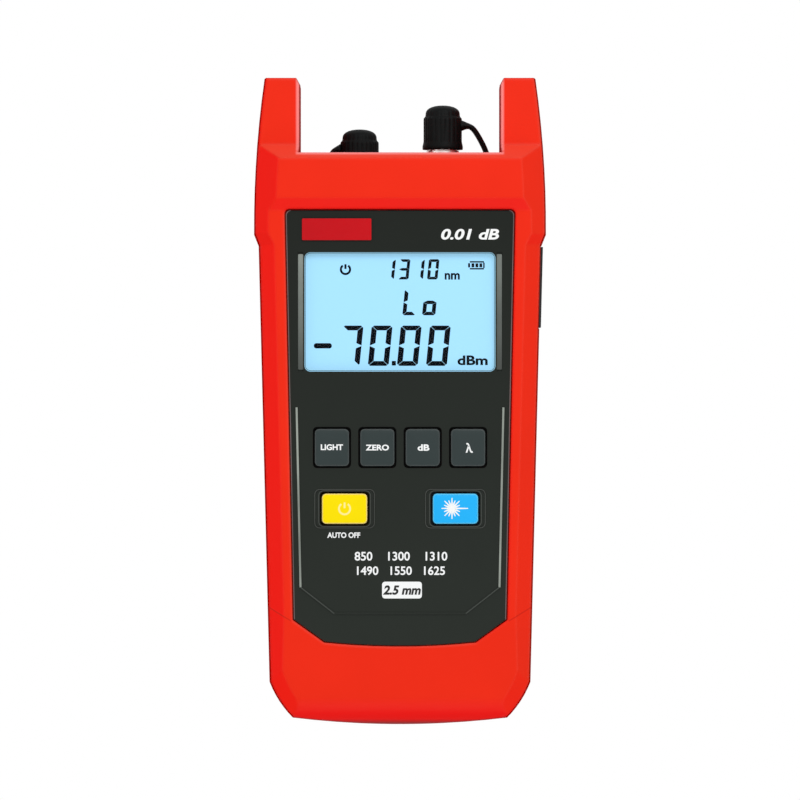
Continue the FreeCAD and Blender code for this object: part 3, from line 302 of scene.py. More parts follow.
def painted_rim_shade(material, share):
    """Paints shade on faces that are seen almost edge on: a matt copy of the colour, at a share of
    its own brightness and without the white sheen, takes over there."""
    start, end = 0.72, 0.95
    make, join = material.node_tree.nodes.new, material.node_tree.links.new
    shader = material.node_tree.nodes["Principled BSDF"]
    steep = make("ShaderNodeLayerWeight")
    amount = make("ShaderNodeMapRange")
    amount.inputs["From Min"].default_value = start
    amount.inputs["From Max"].default_value = end
    dimmed = make("ShaderNodeVectorMath")
    dimmed.operation = "SCALE"
    dimmed.inputs["Scale"].default_value = share
    matt = make("ShaderNodeBsdfDiffuse")
    both = make("ShaderNodeMixShader")
    join(steep.outputs["Facing"], amount.inputs["Value"])
    join(amount.outputs["Result"], both.inputs["Fac"])
    join(shader.inputs["Base Color"].links[0].from_socket, dimmed.inputs[0])
    join(dimmed.outputs["Vector"], matt.inputs["Color"])
    join(shader.outputs["BSDF"], both.inputs[1])
    join(matt.outputs["BSDF"], both.inputs[2])
    join(both.outputs["Shader"], material.node_tree.nodes["Material Output"].inputs["Surface"])


def mix_color(tree, base, color, amount):
    """The base colour turned into another by an amount; base and amount are sockets."""
    mix = tree.nodes.new("ShaderNodeMix")
    mix.data_type = "RGBA"
    mix.inputs["B"].default_value = color
    tree.links.new(base, mix.inputs["A"])
    tree.links.new(amount, mix.inputs["Factor"])
    return mix.outputs["Result"]


def span(tree, value, start, end):
    """0 where the value is at the start and 1 where it is at the end."""
    ramp = tree.nodes.new("ShaderNodeMapRange")
    ramp.inputs["From Min"].default_value = start
    ramp.inputs["From Max"].default_value = end
    tree.links.new(value, ramp.inputs["Value"])
    return ramp.outputs["Result"]


def product(tree, *masks):
    """Masks multiplied together; each is a socket."""
    total = masks[0]
    for mask in masks[1:]:
        times = tree.nodes.new("ShaderNodeMath")
        times.operation = "MULTIPLY"
        tree.links.new(total, times.inputs[0])
        tree.links.new(mask, times.inputs[1])
        total = times.outputs[0]
    return total


def paint_light_by_lean(material, *painted_tones):
    """Paints light and shade into the colour by how far faces lean one way: each painted tone has
    a direction, the two ends of its range of leans, and its colour."""
    tree = material.node_tree
    shader = tree.nodes["Principled BSDF"]
    group = next(node for node in tree.nodes if node.type == "GROUP")
    color = shader.inputs["Base Color"].links[0].from_socket
    for toward, start, end, painted_tone in painted_tones:
        lean = tree.nodes.new("ShaderNodeVectorMath")
        lean.operation = "DOT_PRODUCT"
        lean.inputs[1].default_value = toward
        tree.links.new(group.outputs["Lean"], lean.inputs[0])
        color = mix_color(tree, color, painted_tone, span(tree, lean.outputs["Value"], start, end))
    tree.links.new(color, shader.inputs["Base Color"])


# the pink edge colour is a painted highlight along the edges
red_plastic = moulded("red_plastic", srgb(239, 41, 14), rough=0.42, grain=0.35, depth=0.06,
                      soft=1.5, mottle=0.02, specular=0.12, edge_lighten=0.4, edge=srgb(255, 96, 78))
# painted light: faces leaning towards the connector end paler, plain again on its upright walls;
# faces leaning towards the foot a deeper red, a dark band of painted shade low on its roll and its
# upright end a little darker; faces leaning left a deeper red, as shade
paint_light_by_lean(red_plastic,
             ((0, 1, 0), 0.3, 0.8, srgb(240, 66, 46)),
             ((0, 1, 0), 0.85, 1.0, srgb(238, 42, 16)),
             ((0, -1, 0), 0.1, 0.6, srgb(252, 8, 0)),
             ((0, -1, 0), 0.74, 0.9, srgb(140, 0, 0)),
             ((0, -1, 0), 0.93, 1.0, srgb(226, 22, 6)),
             ((-1, 0, 0), 0.1, 0.5, srgb(252, 20, 4)))
# painted shade on faces seen almost edge on
painted_rim_shade(red_plastic, 0.5)

# a painted pale sheen along the upper edges round the bay: each horn's inner side, then the wall
bay_half = 31.9 * MM
sheen_fade = 0.6 * MM
tree = red_plastic.node_tree
shader = tree.nodes["Principled BSDF"]
place = tree.nodes.new("ShaderNodeTexCoord")
axes = tree.nodes.new("ShaderNodeSeparateXYZ")
off_axis = tree.nodes.new("ShaderNodeMath")
off_axis.operation = "ABSOLUTE"
tree.links.new(place.outputs["Object"], axes.inputs["Vector"])
tree.links.new(axes.outputs["X"], off_axis.inputs[0])
sheen = shader.inputs["Base Color"].links[0].from_socket
for from_y, low, high in ((76.0, 34.0, 38.0), (74.9, 41.0, 41.8)):
    in_bay = product(tree, span(tree, off_axis.outputs[0], bay_half, bay_half - sheen_fade),
                     span(tree, axes.outputs["Y"], from_y * MM, from_y * MM + sheen_fade),
                     span(tree, axes.outputs["Z"], low * MM, high * MM))
    sheen = mix_color(tree, sheen, srgb(255, 138, 134), in_bay)

# painted shade: a fine darker line across each side of the front shell, on the crease where the
# foot begins
crease_start = Vector((32.9, -66.8)) * MM
crease_end = Vector((39.3, -63.0)) * MM
crease_wide = 0.28 * MM
crease_upper = Vector((24.0, 32.0)) * MM
across = (crease_end - crease_start).orthogonal().normalized()
flat_place = tree.nodes.new("ShaderNodeCombineXYZ")
flat_place.inputs["Z"].default_value = 1.0
beside = tree.nodes.new("ShaderNodeVectorMath")
beside.operation = "DOT_PRODUCT"
beside.inputs[1].default_value = (*across, -across.dot(crease_start))
apart = tree.nodes.new("ShaderNodeMath")
apart.operation = "ABSOLUTE"
tree.links.new(off_axis.outputs[0], flat_place.inputs["X"])
tree.links.new(axes.outputs["Y"], flat_place.inputs["Y"])
tree.links.new(flat_place.outputs["Vector"], beside.inputs[0])
tree.links.new(beside.outputs["Value"], apart.inputs[0])
crease_shade = product(tree, span(tree, apart.outputs[0], crease_wide, 0.0),
                 span(tree, off_axis.outputs[0], crease_start.x, crease_start.x + crease_wide),
                 span(tree, axes.outputs["Z"], *crease_upper))
tree.links.new(mix_color(tree, sheen, srgb(206, 30, 12), crease_shade), shader.inputs["Base Color"])
dress(red_plastic, "front_shell", "rear_shell", "battery_door")


# ---- Front panel
# One sheet of dark grained plastic let into the front shell, with a bevelled window and key
# openings. Two grey sloped strips flank the window, their grey painted light, and a fine raised
# line frames the keys, with a painted highlight along it.
panel_plastic = moulded("panel_plastic", srgb(36, 40, 36), rough=0.55, grain=0.2, depth=0.15,
                        soft=0.15, mottle=0.03, edge_lighten=0.5, specular=0.08)
dress(panel_plastic, "front_panel")
panel_low, panel_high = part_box("front_panel")
panel_bead = 0.25 * MM    # how far the sheet's own lines stand out of its face
panel_face = panel_high.z - panel_bead
print_thick = 0.03 * MM


def add_piece(bm, name, material, body, smooth_angle=35.0):
    """Makes a finished mesh a piece that rides on a body, if one is named, and is smooth."""
    bmesh.ops.recalc_face_normals(bm, faces=bm.faces)
    mesh = bpy.data.meshes.new(name)
    bm.to_mesh(mesh)
    bm.free()
    mesh.materials.append(material)
    mesh.shade_smooth()
    mesh.set_sharp_from_angle(angle=math.radians(smooth_angle))
    piece = bpy.data.objects.new(name, mesh)
    scene.collection.objects.link(piece)
    if body:
        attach(piece, body)
    return piece


def rounded_face(bm, center, wide, tall, radius, height):
    """A flat face with rounded corners, ready to be extruded."""
    sheet = bmesh.ops.create_grid(bm, x_segments=1, y_segments=1, size=0.5)["verts"]
    bmesh.ops.scale(bm, vec=(wide, tall, 1), verts=sheet)
    bmesh.ops.translate(bm, vec=(center[0], center[1], height), verts=sheet)
    face = sheet[0].link_faces[0]
    if radius:
        rounded = bmesh.ops.bevel(bm, geom=sheet, offset=radius, segments=5, profile=0.5,
                                  affect="VERTICES", material=-1)
        face = rounded["verts"][0].link_faces[0]
    return face


def thicken(bm, faces, thick):
    """Closes flat faces into a solid of that thickness. Returns the new upper faces."""
    raised = bmesh.ops.extrude_face_region(bm, geom=faces)["geom"]
    moved = [item for item in raised if isinstance(item, bmesh.types.BMVert)]
    bmesh.ops.translate(bm, vec=(0, 0, thick), verts=moved)
    return [item for item in raised if isinstance(item, bmesh.types.BMFace)]


def shade_along(tree, color, low, high, low_share, high_share, axis="Y", smooth=False):
    """A colour that changes its brightness from one place on an axis to another."""
    place = tree.nodes.new("ShaderNodeTexCoord")
    axes = tree.nodes.new("ShaderNodeSeparateXYZ")
    fade = tree.nodes.new("ShaderNodeMapRange")
    fade.interpolation_type = "SMOOTHSTEP" if smooth else "LINEAR"
    fade.inputs["From Min"].default_value = low
    fade.inputs["From Max"].default_value = high
    fade.inputs["To Min"].default_value = low_share
    fade.inputs["To Max"].default_value = high_share
    shaded = tree.nodes.new("ShaderNodeVectorMath")
    shaded.operation = "SCALE"
    if isinstance(color, bpy.types.NodeSocket):
        tree.links.new(color, shaded.inputs[0])
    else:
        shaded.inputs[0].default_value = color[:3]
    tree.links.new(place.outputs["Object"], axes.inputs["Vector"])
    tree.links.new(axes.outputs[axis], fade.inputs["Value"])
    tree.links.new(fade.outputs["Result"], shaded.inputs["Scale"])
    return shaded.outputs["Vector"]


def shade_material(material, *spread, **how):
    """Gives a moulded finish a brightness that changes along an axis."""
    tree = material.node_tree
    socket = tree.nodes["Principled BSDF"].inputs["Base Color"]
    tree.links.new(shade_along(tree, socket.links[0].from_socket, *spread, **how), socket)


# painted light: the panel is lighter towards its foot and darker towards the connector end
shade_material(panel_plastic, panel_low.y, panel_high.y, 1.2, 0.72)

lens_low, lens_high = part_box("display_lens")
lens_flange = 1.8 * MM
window_y = (lens_low.y + lens_high.y) / 2
window_wide = lens_high.x - lens_low.x - lens_flange * 2
window_tall = lens_high.y - lens_low.y - lens_flange * 2
strip_x = 30.2 * MM
strip_wide = 1.6 * MM
strip_tall = window_tall - 1.2 * MM
strip_thick = 0.1 * MM
strip_face = panel_face - 0.36 * MM
# painted light: the grey of each strip stands for light on a sloped side of the window; the right
# strip is a darker copy, and each is painted darker towards the foot
for side, label, bright in ((-1, "left", 1.0), (1, "right", 0.75)):
    strip_grey = moulded("strip_grey_" + label, srgb(130, 137, 131), rough=0.5, grain=0.35,
                         depth=0.6, soft=0.0, mottle=0.22)
    shade_material(strip_grey, window_y - window_tall / 2, window_y + window_tall / 2,
                   bright * 0.3, bright)
    bm = bmesh.new()
    face = rounded_face(bm, (side * strip_x, window_y), strip_wide, strip_tall, 0.3 * MM,
                        strip_face)
    thicken(bm, [face], strip_thick)
    add_piece(bm, "window_strip_" + label, strip_grey, "housing")

# painted highlights on the raised lines beside the keys, each with a faint one from its foot
# towards the middle
ridge_highlight = moulded("ridge_highlight", srgb(140, 146, 138), rough=0.4, grain=0.2, depth=0.1, soft=0.0,
                    mottle=0.25)
faint_ridge_highlight = moulded("faint_ridge_highlight", srgb(58, 63, 58), rough=0.4, grain=0.2, depth=0.1, soft=0.0,
                     mottle=0.1)
line_top = Vector((-31.45, -1.75)) * MM
line_knee = Vector((-30.25, -56.45)) * MM
line_toe = Vector((-20.0, -64.45)) * MM
line_wide = 0.6 * MM
faint_wide = 0.3 * MM
line_thick = 0.05 * MM
line_face = panel_high.z - 0.02 * MM


def add_line(name, points, material, wide, height):
    """A fine line through points on the panel, closed into a thin solid."""
    bm = bmesh.new()
    pairs = []
    for index, spot in enumerate(points):
        along = points[min(index + 1, len(points) - 1)] - points[max(index - 1, 0)]
        across = Vector((-along.y, along.x)).normalized() * wide / 2
        pairs.append([bm.verts.new((*(spot + offset), height)) for offset in (-across, across)])
    faces = [bm.faces.new((*here, *after[::-1])) for here, after in zip(pairs, pairs[1:])]
    thicken(bm, faces, line_thick)
    add_piece(bm, name, material, "housing")


# a painted highlight, a fine bright line, follows each long side of the sheet, through the
# outermost point of its mesh in each row
edge_sheen = moulded("edge_sheen", srgb(112, 92, 92), rough=0.4, grain=0.2, depth=0.1, soft=0.0,
                     mottle=0.2)
edge_inset = Vector((0.2, 0)) * MM
edge_wide = 0.25 * MM
edge_face = panel_face - 0.02 * MM
long_side = 32.1 * MM
same_level = 0.05 * MM
same_row = 0.02 * MM
panel_sheet = [vertex.co for vertex in nodes["front_panel"].data.vertices
               if abs(vertex.co.z - panel_face) < same_level]
for side, label in ((1, "left"), (-1, "right")):
    flip = Vector((side, 1))
    add_line("key_line_" + label, [line_top * flip, line_knee * flip], ridge_highlight, line_wide,
             line_face)
    add_line("foot_line_" + label, [line_knee * flip, line_toe * flip], faint_ridge_highlight, faint_wide,
             line_face)
    rows = sorted({round(spot.y, 5) for spot in panel_sheet if -spot.x * side > long_side})
    points = [Vector((max((-spot.x * side, spot.x) for spot in panel_sheet
                          if abs(spot.y - row) < same_row)[1], row)) for row in rows]
    add_line("panel_highlight_" + label, [spot + edge_inset * side for spot in points], edge_sheen,
             edge_wide, edge_face)


def thin_rim(bm, face, wide, thick):
    """Turns a flat face into a closed rim along its edge."""
    rim = bmesh.ops.inset_region(bm, faces=[face], thickness=wide, use_boundary=True)["faces"]
    bmesh.ops.delete(bm, geom=[face], context="FACES_ONLY")
    thicken(bm, rim, thick)


# two fine rims of painted highlight round the opening of each coloured key, whose own box takes in
# a hidden collar
surround_highlight = moulded("surround_highlight", srgb(66, 69, 65), rough=0.45, grain=0.2, depth=0.1,
                        soft=0.0, mottle=0.1)
surround_line = 0.18 * MM
surround_corner = 1.6 * MM
surround_face = panel_high.z - 0.06 * MM
collar_wide = 0.9 * MM
for name, label in (("key_power", "power"), ("key_laser", "laser")):
    low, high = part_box(name)
    middle = (low + high) / 2
    for index, (side_gap, end_gap) in enumerate(((1.05, 0.95), (2.25, 1.35))):
        bm = bmesh.new()
        face = rounded_face(bm, middle, high.x - low.x + (side_gap * MM - collar_wide) * 2,
                            high.y - low.y + (end_gap * MM - collar_wide) * 2,
                            surround_corner, surround_face)
        thin_rim(bm, face, surround_line, print_thick)
        add_piece(bm, f"{label}_key_surround_{index + 1}", surround_highlight, "housing")


# ---- Bare plate
# A glossy deep red badge, glued into the panel's upper left corner. It is bare: nothing is
# printed on it.
plate_gloss = moulded("plate_gloss", srgb(194, 10, 22), rough=0.22, grain=0.6, depth=0.02,
                      soft=0.15, mottle=0.05, specular=0.14)
dress(plate_gloss, "brand_plate")


# ---- Display
# A backlit liquid crystal glass behind the lens. Its figures are slanted bars with mitred gaps,
# as thin as ink on the glass, and a painted shade darkens it a little towards the window's upper
# edge.
figure_ink = moulded("figure_ink", srgb(3, 8, 16), rough=0.5, grain=0.2, depth=0.02, soft=0.0,
                     mottle=0.1, specular=0.02)
backlit = moulded("backlit_glass", srgb(118, 160, 196), rough=0.3, grain=0.1, depth=0.01,
                  soft=0.0, mottle=0.01, specular=0.2)
tree = backlit.node_tree
shader = tree.nodes["Principled BSDF"]
# the backlight's colour, with painted shade towards the window's upper edge
glow_and_shade = shade_along(tree, srgb(169, 228, 251), window_y + window_tall / 2 - 2.5 * MM,
                   window_y + window_tall / 2, 1.0, 0.82, smooth=True)
tree.links.new(glow_and_shade, shader.inputs["Emission Color"])
shader.inputs["Emission Strength"].default_value = 0.62
dress(backlit, "display_glass")
glass_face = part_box("display_glass")[1].z

# which bars each figure lights: a is the top, then clockwise to f, and g is the middle
figure_lean = 0.1
figure_bars = {"0": "abcdef", "1": "bc", "3": "abcdg", "7": "abc", "L": "def", "o": "cdeg"}


def bar_corners(bar, wide, tall, stroke, gap):
    """The corners of one bar of a seven-bar figure that stands on the origin."""
    half = tall / 2
    inner_right = wide - stroke
    # the level bars are a little thinner, and the figure's outer corners are cut off
    level = 0.88 * stroke
    cut_x, cut_y = 0.42 * stroke, 0.42 * level
    upper = [(cut_x, tall), (wide - cut_x, tall), (wide - cut_x / 2 - gap, tall - cut_y / 2),
             (inner_right - gap, tall - level), (stroke + gap, tall - level),
             (cut_x / 2 + gap, tall - cut_y / 2)]
    side = [(0, tall - cut_y), (cut_x / 2, tall - cut_y / 2 - gap), (stroke, tall - level - gap),
            (stroke, half + level / 2 + gap), (0, half + gap)]
    middle = [(gap, half), (stroke, half + level / 2), (inner_right, half + level / 2),
              (wide - gap, half), (inner_right, half - level / 2), (stroke, half - level / 2)]
    return {
        "a": upper,
        "d": [(x, tall - y) for x, y in upper],
        "f": side,
        "e": [(x, tall - y) for x, y in side],
        "b": [(wide - x, y) for x, y in side],
        "c": [(wide - x, tall - y) for x, y in side],
        "g": middle,
    }[bar]


def add_figures(name, words, left, foot, wide, tall, stroke, pitch, gap):
    """A row of seven-bar figures, in millimetres; the pitch is from one figure to the next."""
    bm = bmesh.new()
    faces = []
    for index, figure in enumerate(words):
        for bar in figure_bars[figure]:
            spots = [Vector((left + index * pitch + x + y * figure_lean, foot + y))
                     for x, y in bar_corners(bar, wide, tall, stroke, gap)]
            verts = [bm.verts.new((*(spot * MM), glass_face)) for spot in spots]
            faces.append(bm.faces.new(verts))
    thicken(bm, faces, print_thick)
    add_piece(bm, name, figure_ink, "housing")


add_figures("reading_figures", "7000", -18.68, 10.9, 6.35, 12.25, 1.65, 8.86, gap=0.07)
add_figures("level_figures", "Lo", 0.7, 26.3, 4.05, 7.85, 1.2, 6.0, gap=0.05)
add_figures("wavelength_figures", "1310", -5.05, 37.2, 3.2, 6.15, 0.92, 4.42, gap=0.03)

# the point among the figures, then the sign before them
bm = bmesh.new()
rounded_face(bm, (-1.88 * MM, 11.7 * MM), 1.25 * MM, 1.4 * MM, 0.12 * MM, glass_face)
rounded_face(bm, (-23.5 * MM, 17.0 * MM), 5.5 * MM, 1.6 * MM, 0.75 * MM, glass_face)
thicken(bm, bm.faces[:], print_thick)
add_piece(bm, "reading_sign_and_point", figure_ink, "housing")


def power_symbol(bm, center, radius, thick, height):
    """A ring open at the top, made by spinning one edge, and an upright bar in the gap."""
    opening = math.radians(70)
    begin = math.pi / 2 + opening / 2
    ends = [bm.verts.new((center[0] + reach * math.cos(begin), center[1] + reach * math.sin(begin),
                          height)) for reach in (radius - thick / 2, radius + thick / 2)]
    edge = bm.edges.new(ends)
    bmesh.ops.spin(bm, geom=[*ends, edge], cent=(center[0], center[1], height), axis=(0, 0, 1),
                   angle=2 * math.pi - opening, steps=40)
    rounded_face(bm, (center[0], center[1] + radius * 0.62), thick, radius * 1.05, thick * 0.3,
                 height)


bm = bmesh.new()
power_symbol(bm, (-16.6 * MM, 40.25 * MM), 1.4 * MM, 0.66 * MM, glass_face)
thicken(bm, bm.faces[:], print_thick)
add_piece(bm, "power_sign", figure_ink, "housing")

# the battery sign: a frame of thin lines, its nub on the left, with three bars inside
cell_x, cell_y = 23.4 * MM, 41.5 * MM
cell_wide, cell_tall, cell_line = 4.3 * MM, 2.1 * MM, 0.44 * MM
charge_wide, charge_tall, charge_pitch = 0.85 * MM, 1.2 * MM, 1.2 * MM
bm = bmesh.new()
for step in (-1, 1):
    rounded_face(bm, (cell_x, cell_y + step * cell_tall / 2), cell_wide, cell_line, 0, glass_face)
rounded_face(bm, (cell_x + cell_wide / 2, cell_y), cell_line, cell_tall - cell_line, 0, glass_face)
rounded_face(bm, (cell_x - cell_wide / 2 - cell_line / 2, cell_y), cell_line * 1.4,
             cell_tall * 0.6, 0, glass_face)
for step in (-1, 0, 1):
    rounded_face(bm, (cell_x + step * charge_pitch, cell_y), charge_wide, charge_tall, 0,
                 glass_face)
thicken(bm, bm.faces[:], print_thick)
add_piece(bm, "battery_sign", figure_ink, "housing")


def lettering(name, words, center, tall, material, body, height, wide=None,
              thick=print_thick, weight=0.03, shear=0.0, surface=None):
    """Printed words in the plain built-in face, at a height or on a surface below that height.
    The weight makes the strokes bolder."""
    curve = bpy.data.curves.new(name, "FONT")
    curve.body = words
    curve.extrude = 0.5
    curve.offset = weight
    curve.shear = shear
    curve.resolution_u = 4
    text = bpy.data.objects.new(name, curve)
    mesh = bpy.data.meshes.new_from_object(text)
    bpy.data.objects.remove(text)
    bpy.data.curves.remove(curve)
    low = [min(vertex.co[axis] for vertex in mesh.vertices) for axis in range(3)]
    high = [max(vertex.co[axis] for vertex in mesh.vertices) for axis in range(3)]
    if wide is None:
        wide = tall * (high[0] - low[0]) / (high[1] - low[1])
    for vertex in mesh.vertices:
        share = [(vertex.co[axis] - low[axis]) / (high[axis] - low[axis]) for axis in range(3)]
        x = center[0] + (share[0] - 0.5) * wide
        y = center[1] + (share[1] - 0.5) * tall
        base = height
        if surface:
            base = surface.ray_cast(Vector((x, y, height)), Vector((0, 0, -1)))[0].z
        vertex.co = (x, y, base - thick / 3 + share[2] * thick)
    mesh.materials.clear()
    mesh.materials.append(material)
    piece = bpy.data.objects.new(name, mesh)
    scene.collection.objects.link(piece)
    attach(piece, body)


lettering("unit_sign_nm", "nm", (15.9 * MM, 38.15 * MM), 2.0 * MM, figure_ink, "housing",
          glass_face, wide=4.6 * MM, weight=0.033)
lettering("unit_sign_dbm", "dBm", (22.1 * MM, 12.6 * MM), 2.95 * MM, figure_ink, "housing",
          glass_face, wide=9.2 * MM, weight=0.033)


# ---- Lens
# A clear acrylic window, hard-coated and glued in from behind, its face just below the panel.
# Its underside clears the display glass, and a fine black border round its face is painted
# shadow, the dark gap at the window's edge.
lens_clear = bpy.data.materials.new("lens_clear")
lens_clear.use_nodes = True
tree = lens_clear.node_tree
tree.nodes.remove(tree.nodes["Principled BSDF"])
through = tree.nodes.new("ShaderNodeBsdfTransparent")
through.inputs["Color"].default_value = (0.985, 0.992, 0.995, 1)
shine = tree.nodes.new("ShaderNodeBsdfGlossy")
shine.inputs["Roughness"].default_value = 0.12
facing = tree.nodes.new("ShaderNodeFresnel")
facing.inputs["IOR"].default_value = 1.2
ripple = tree.nodes.new("ShaderNodeTexNoise")
ripple.inputs["Scale"].default_value = 40.0
dent = tree.nodes.new("ShaderNodeBump")
dent.inputs["Strength"].default_value = 0.02
dent.inputs["Distance"].default_value = 0.05 * MM
place = tree.nodes.new("ShaderNodeTexCoord")
outside = tree.nodes.new("ShaderNodeNewGeometry")
front_only = tree.nodes.new("ShaderNodeMath")
front_only.operation = "SUBTRACT"
front_only.use_clamp = True
pane = tree.nodes.new("ShaderNodeMixShader")
tree.links.new(place.outputs["Object"], ripple.inputs["Vector"])
tree.links.new(ripple.outputs["Fac"], dent.inputs["Height"])
tree.links.new(dent.outputs["Normal"], shine.inputs["Normal"])
tree.links.new(facing.outputs["Fac"], front_only.inputs[0])
tree.links.new(outside.outputs["Backfacing"], front_only.inputs[1])
tree.links.new(front_only.outputs[0], pane.inputs["Fac"])
tree.links.new(through.outputs["BSDF"], pane.inputs[1])
tree.links.new(shine.outputs["BSDF"], pane.inputs[2])
tree.links.new(pane.outputs["Shader"], tree.nodes["Material Output"].inputs["Surface"])
lens_gap = 0.4 * MM
lens_wide = window_wide - lens_gap
lens_tall = window_tall - lens_gap
lens_corner = 1.6 * MM
air_gap = 0.1 * MM
bm = bmesh.new()
pane_face = rounded_face(bm, (0, window_y), lens_wide, lens_tall, lens_corner,
                         glass_face + air_gap)
thicken(bm, [pane_face], lens_high.z - glass_face - air_gap)
lens = add_piece(bm, "clear_lens", lens_clear, "housing")
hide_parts("display_lens")

border_shadow = moulded("border_shadow", srgb(10, 12, 12), rough=0.5, grain=0.2, depth=0.03,
                       soft=0.0, specular=0.2)
border_wide = 0.14 * MM
border_thick = 0.02 * MM
bm = bmesh.new()
border_face = rounded_face(bm, (0, window_y), lens_wide, lens_tall, lens_corner, lens_high.z)
thin_rim(bm, border_face, border_wide, border_thick)
add_piece(bm, "lens_border", border_shadow, "housing")


# ---- Keys
# Silicone key caps with a soft rim and a slightly crowned face, on a collar under the panel.
# Four are dark grey, the power key is yellow and the laser key is blue.
key_grey = moulded("key_grey", srgb(44, 54, 54), rough=0.5, grain=0.18, depth=0.1, soft=0.1,
                   mottle=0.03, edge_lighten=0.3, specular=0.2)
key_yellow = moulded("key_yellow", srgb(252, 226, 0), rough=0.45, grain=0.18, depth=0.06,
                     soft=0.1, mottle=0.02, specular=0.08)
key_blue = moulded("key_blue", srgb(18, 178, 248), rough=0.45, grain=0.18, depth=0.06, soft=0.1,
                   mottle=0.02)
# painted light on each key: its rim and sides a paler tone as a highlight, and its lower sides and
# collar painted dark, as shade in the gap round it
for material, rim_highlight in ((key_grey, srgb(74, 80, 80)), (key_yellow, srgb(255, 226, 130)),
                            (key_blue, srgb(96, 206, 252))):
    paint_light_by_lean(material, ((0, 0, -1), -0.97, -0.8, rim_highlight))
    shade_material(material, panel_face, panel_face + 0.5 * MM, 0.06, 1.0, axis="Z")
collar_thick = 0.8 * MM
collar_corner = 2.2 * MM
rim_radius = 0.55 * MM
rim_steps = 4
crown = 0.14 * MM
crown_steps = 5
key_faces = {}
for name, body, material, slot in (
    ("key_light", "light_button", key_grey, "grey_key"),
    ("key_zero", "zero_button", key_grey, "grey_key"),
    ("key_unit", "unit_button", key_grey, "grey_key"),
    ("key_wavelength", "wavelength_button", key_grey, "grey_key"),
    ("key_power", "power_button", key_yellow, "yellow_key"),
    ("key_laser", "laser_button", key_blue, "blue_key"),
):
    low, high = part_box(name)
    middle = (low + high) / 2
    bm = bmesh.new()
    base = rounded_face(bm, middle, high.x - low.x, high.y - low.y, collar_corner, low.z)
    face = thicken(bm, [base], collar_thick)
    bmesh.ops.inset_region(bm, faces=face, thickness=collar_wide, depth=0.0)
    edge_height = high.z - crown - rim_radius
    face = bmesh.ops.extrude_discrete_faces(bm, faces=face)["faces"]
    bmesh.ops.translate(bm, vec=(0, 0, edge_height - low.z - collar_thick), verts=face[0].verts)
    for step in range(1, rim_steps + 1):
        here = math.pi / 2 * step / rim_steps
        last = math.pi / 2 * (step - 1) / rim_steps
        bmesh.ops.inset_region(bm, faces=face, depth=0.0,
                               thickness=rim_radius * (math.cos(last) - math.cos(here)))
        bmesh.ops.translate(bm, vec=(0, 0, rim_radius * (math.sin(here) - math.sin(last))),
                            verts=face[0].verts)
    for step in range(1, crown_steps):
        outer = 1.0 - (step - 1) / crown_steps
        inner = 1.0 - step / crown_steps
        face = bmesh.ops.extrude_discrete_faces(bm, faces=face)["faces"]
        bmesh.ops.scale(bm, vec=(inner / outer, inner / outer, 1), verts=face[0].verts,
                        space=Matrix.Translation(-middle))
        bmesh.ops.translate(bm, vec=(0, 0, crown * (outer ** 2 - inner ** 2)),
                            verts=face[0].verts)
    bmesh.ops.poke(bm, faces=face)
    bmesh.ops.recalc_face_normals(bm, faces=bm.faces)
    key_faces[name] = BVHTree.FromBMesh(bm)
    key = add_piece(bm, name + "_cap", material, body)
    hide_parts(name)


# ---- Print
# Screen-printed marks, as thin as ink: what each key does, on the key, and plain numbers on the
# panel. A mark on a crowned key is laid on it from above.
white_print = moulded("white_print", srgb(246, 248, 248), rough=0.5, grain=0.12, depth=0.05,
                      soft=0.0, mottle=0.02)
pale_yellow = moulded("pale_yellow_print", srgb(255, 240, 150), rough=0.5, grain=0.12,
                      depth=0.05, soft=0.0, mottle=0.02)
above_keys = 44 * MM
legend_thick = 0.06 * MM
for name, body, words, wide, tall, weight, right, up in (
    ("key_light", "light_button", "LIGHT", 6.75, 1.8, 0.035, 0.0, 0.1),
    ("key_zero", "zero_button", "ZERO", 7.1, 1.8, 0.035, 0.0, 0.0),
    ("key_unit", "unit_button", "dB", 3.6, 1.95, 0.035, 0.25, 0.0),
    ("key_wavelength", "wavelength_button", "\u03bb", 2.2, 3.0, 0.025, 0.35, -0.1),
):
    low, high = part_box(name)
    spot = (low + high) / 2 + Vector((right, up, 0)) * MM
    lettering(name + "_legend", words, spot, tall * MM, white_print, body, above_keys,
              wide=wide * MM, thick=legend_thick, weight=weight, surface=key_faces[name])

lettering("auto_off_legend", "AUTO OFF", (-17.1 * MM, -40.6 * MM), 1.7 * MM, white_print,
          "housing", panel_face, wide=10.0 * MM)
for name, words, y in (
    ("wavelengths_short", "850    1300    1310", -47.0),
    ("wavelengths_long", "1490   1550   1625", -51.4),
):
    lettering(name, words, (0.3 * MM, y * MM), 2.7 * MM, white_print, "housing",
              panel_face, weight=0.018)
lettering("step_print", "0.01 dB", (21.3 * MM, 50.9 * MM), 3.3 * MM, white_print, "housing",
          panel_face, wide=17.6 * MM, shear=0.2)

# the ferrule's size, dark on a white field with rounded corners
ferrule_spot = (0.6 * MM, -57.3 * MM)
bm = bmesh.new()
rounded_face(bm, ferrule_spot, 12.1 * MM, 5.1 * MM, 0.9 * MM, panel_face)
thicken(bm, bm.faces[:], print_thick)
add_piece(bm, "ferrule_field", white_print, "housing")
black_print = moulded("black_print", srgb(20, 21, 20), rough=0.5, grain=0.12, depth=0.05,
                      soft=0.0, mottle=0.02)
lettering("ferrule_size", "2.5 mm", ferrule_spot, 2.9 * MM, black_print, "housing",
          panel_face + print_thick, weight=0.04, shear=0.2)


def drape(bm, surface):
    """Lays flat faces on a crowned key, then gives them the thickness of a print."""
    for vertex in bm.verts:
        vertex.co.z = surface.ray_cast(vertex.co, Vector((0, 0, -1)))[0].z
    thicken(bm, bm.faces[:], print_thick)


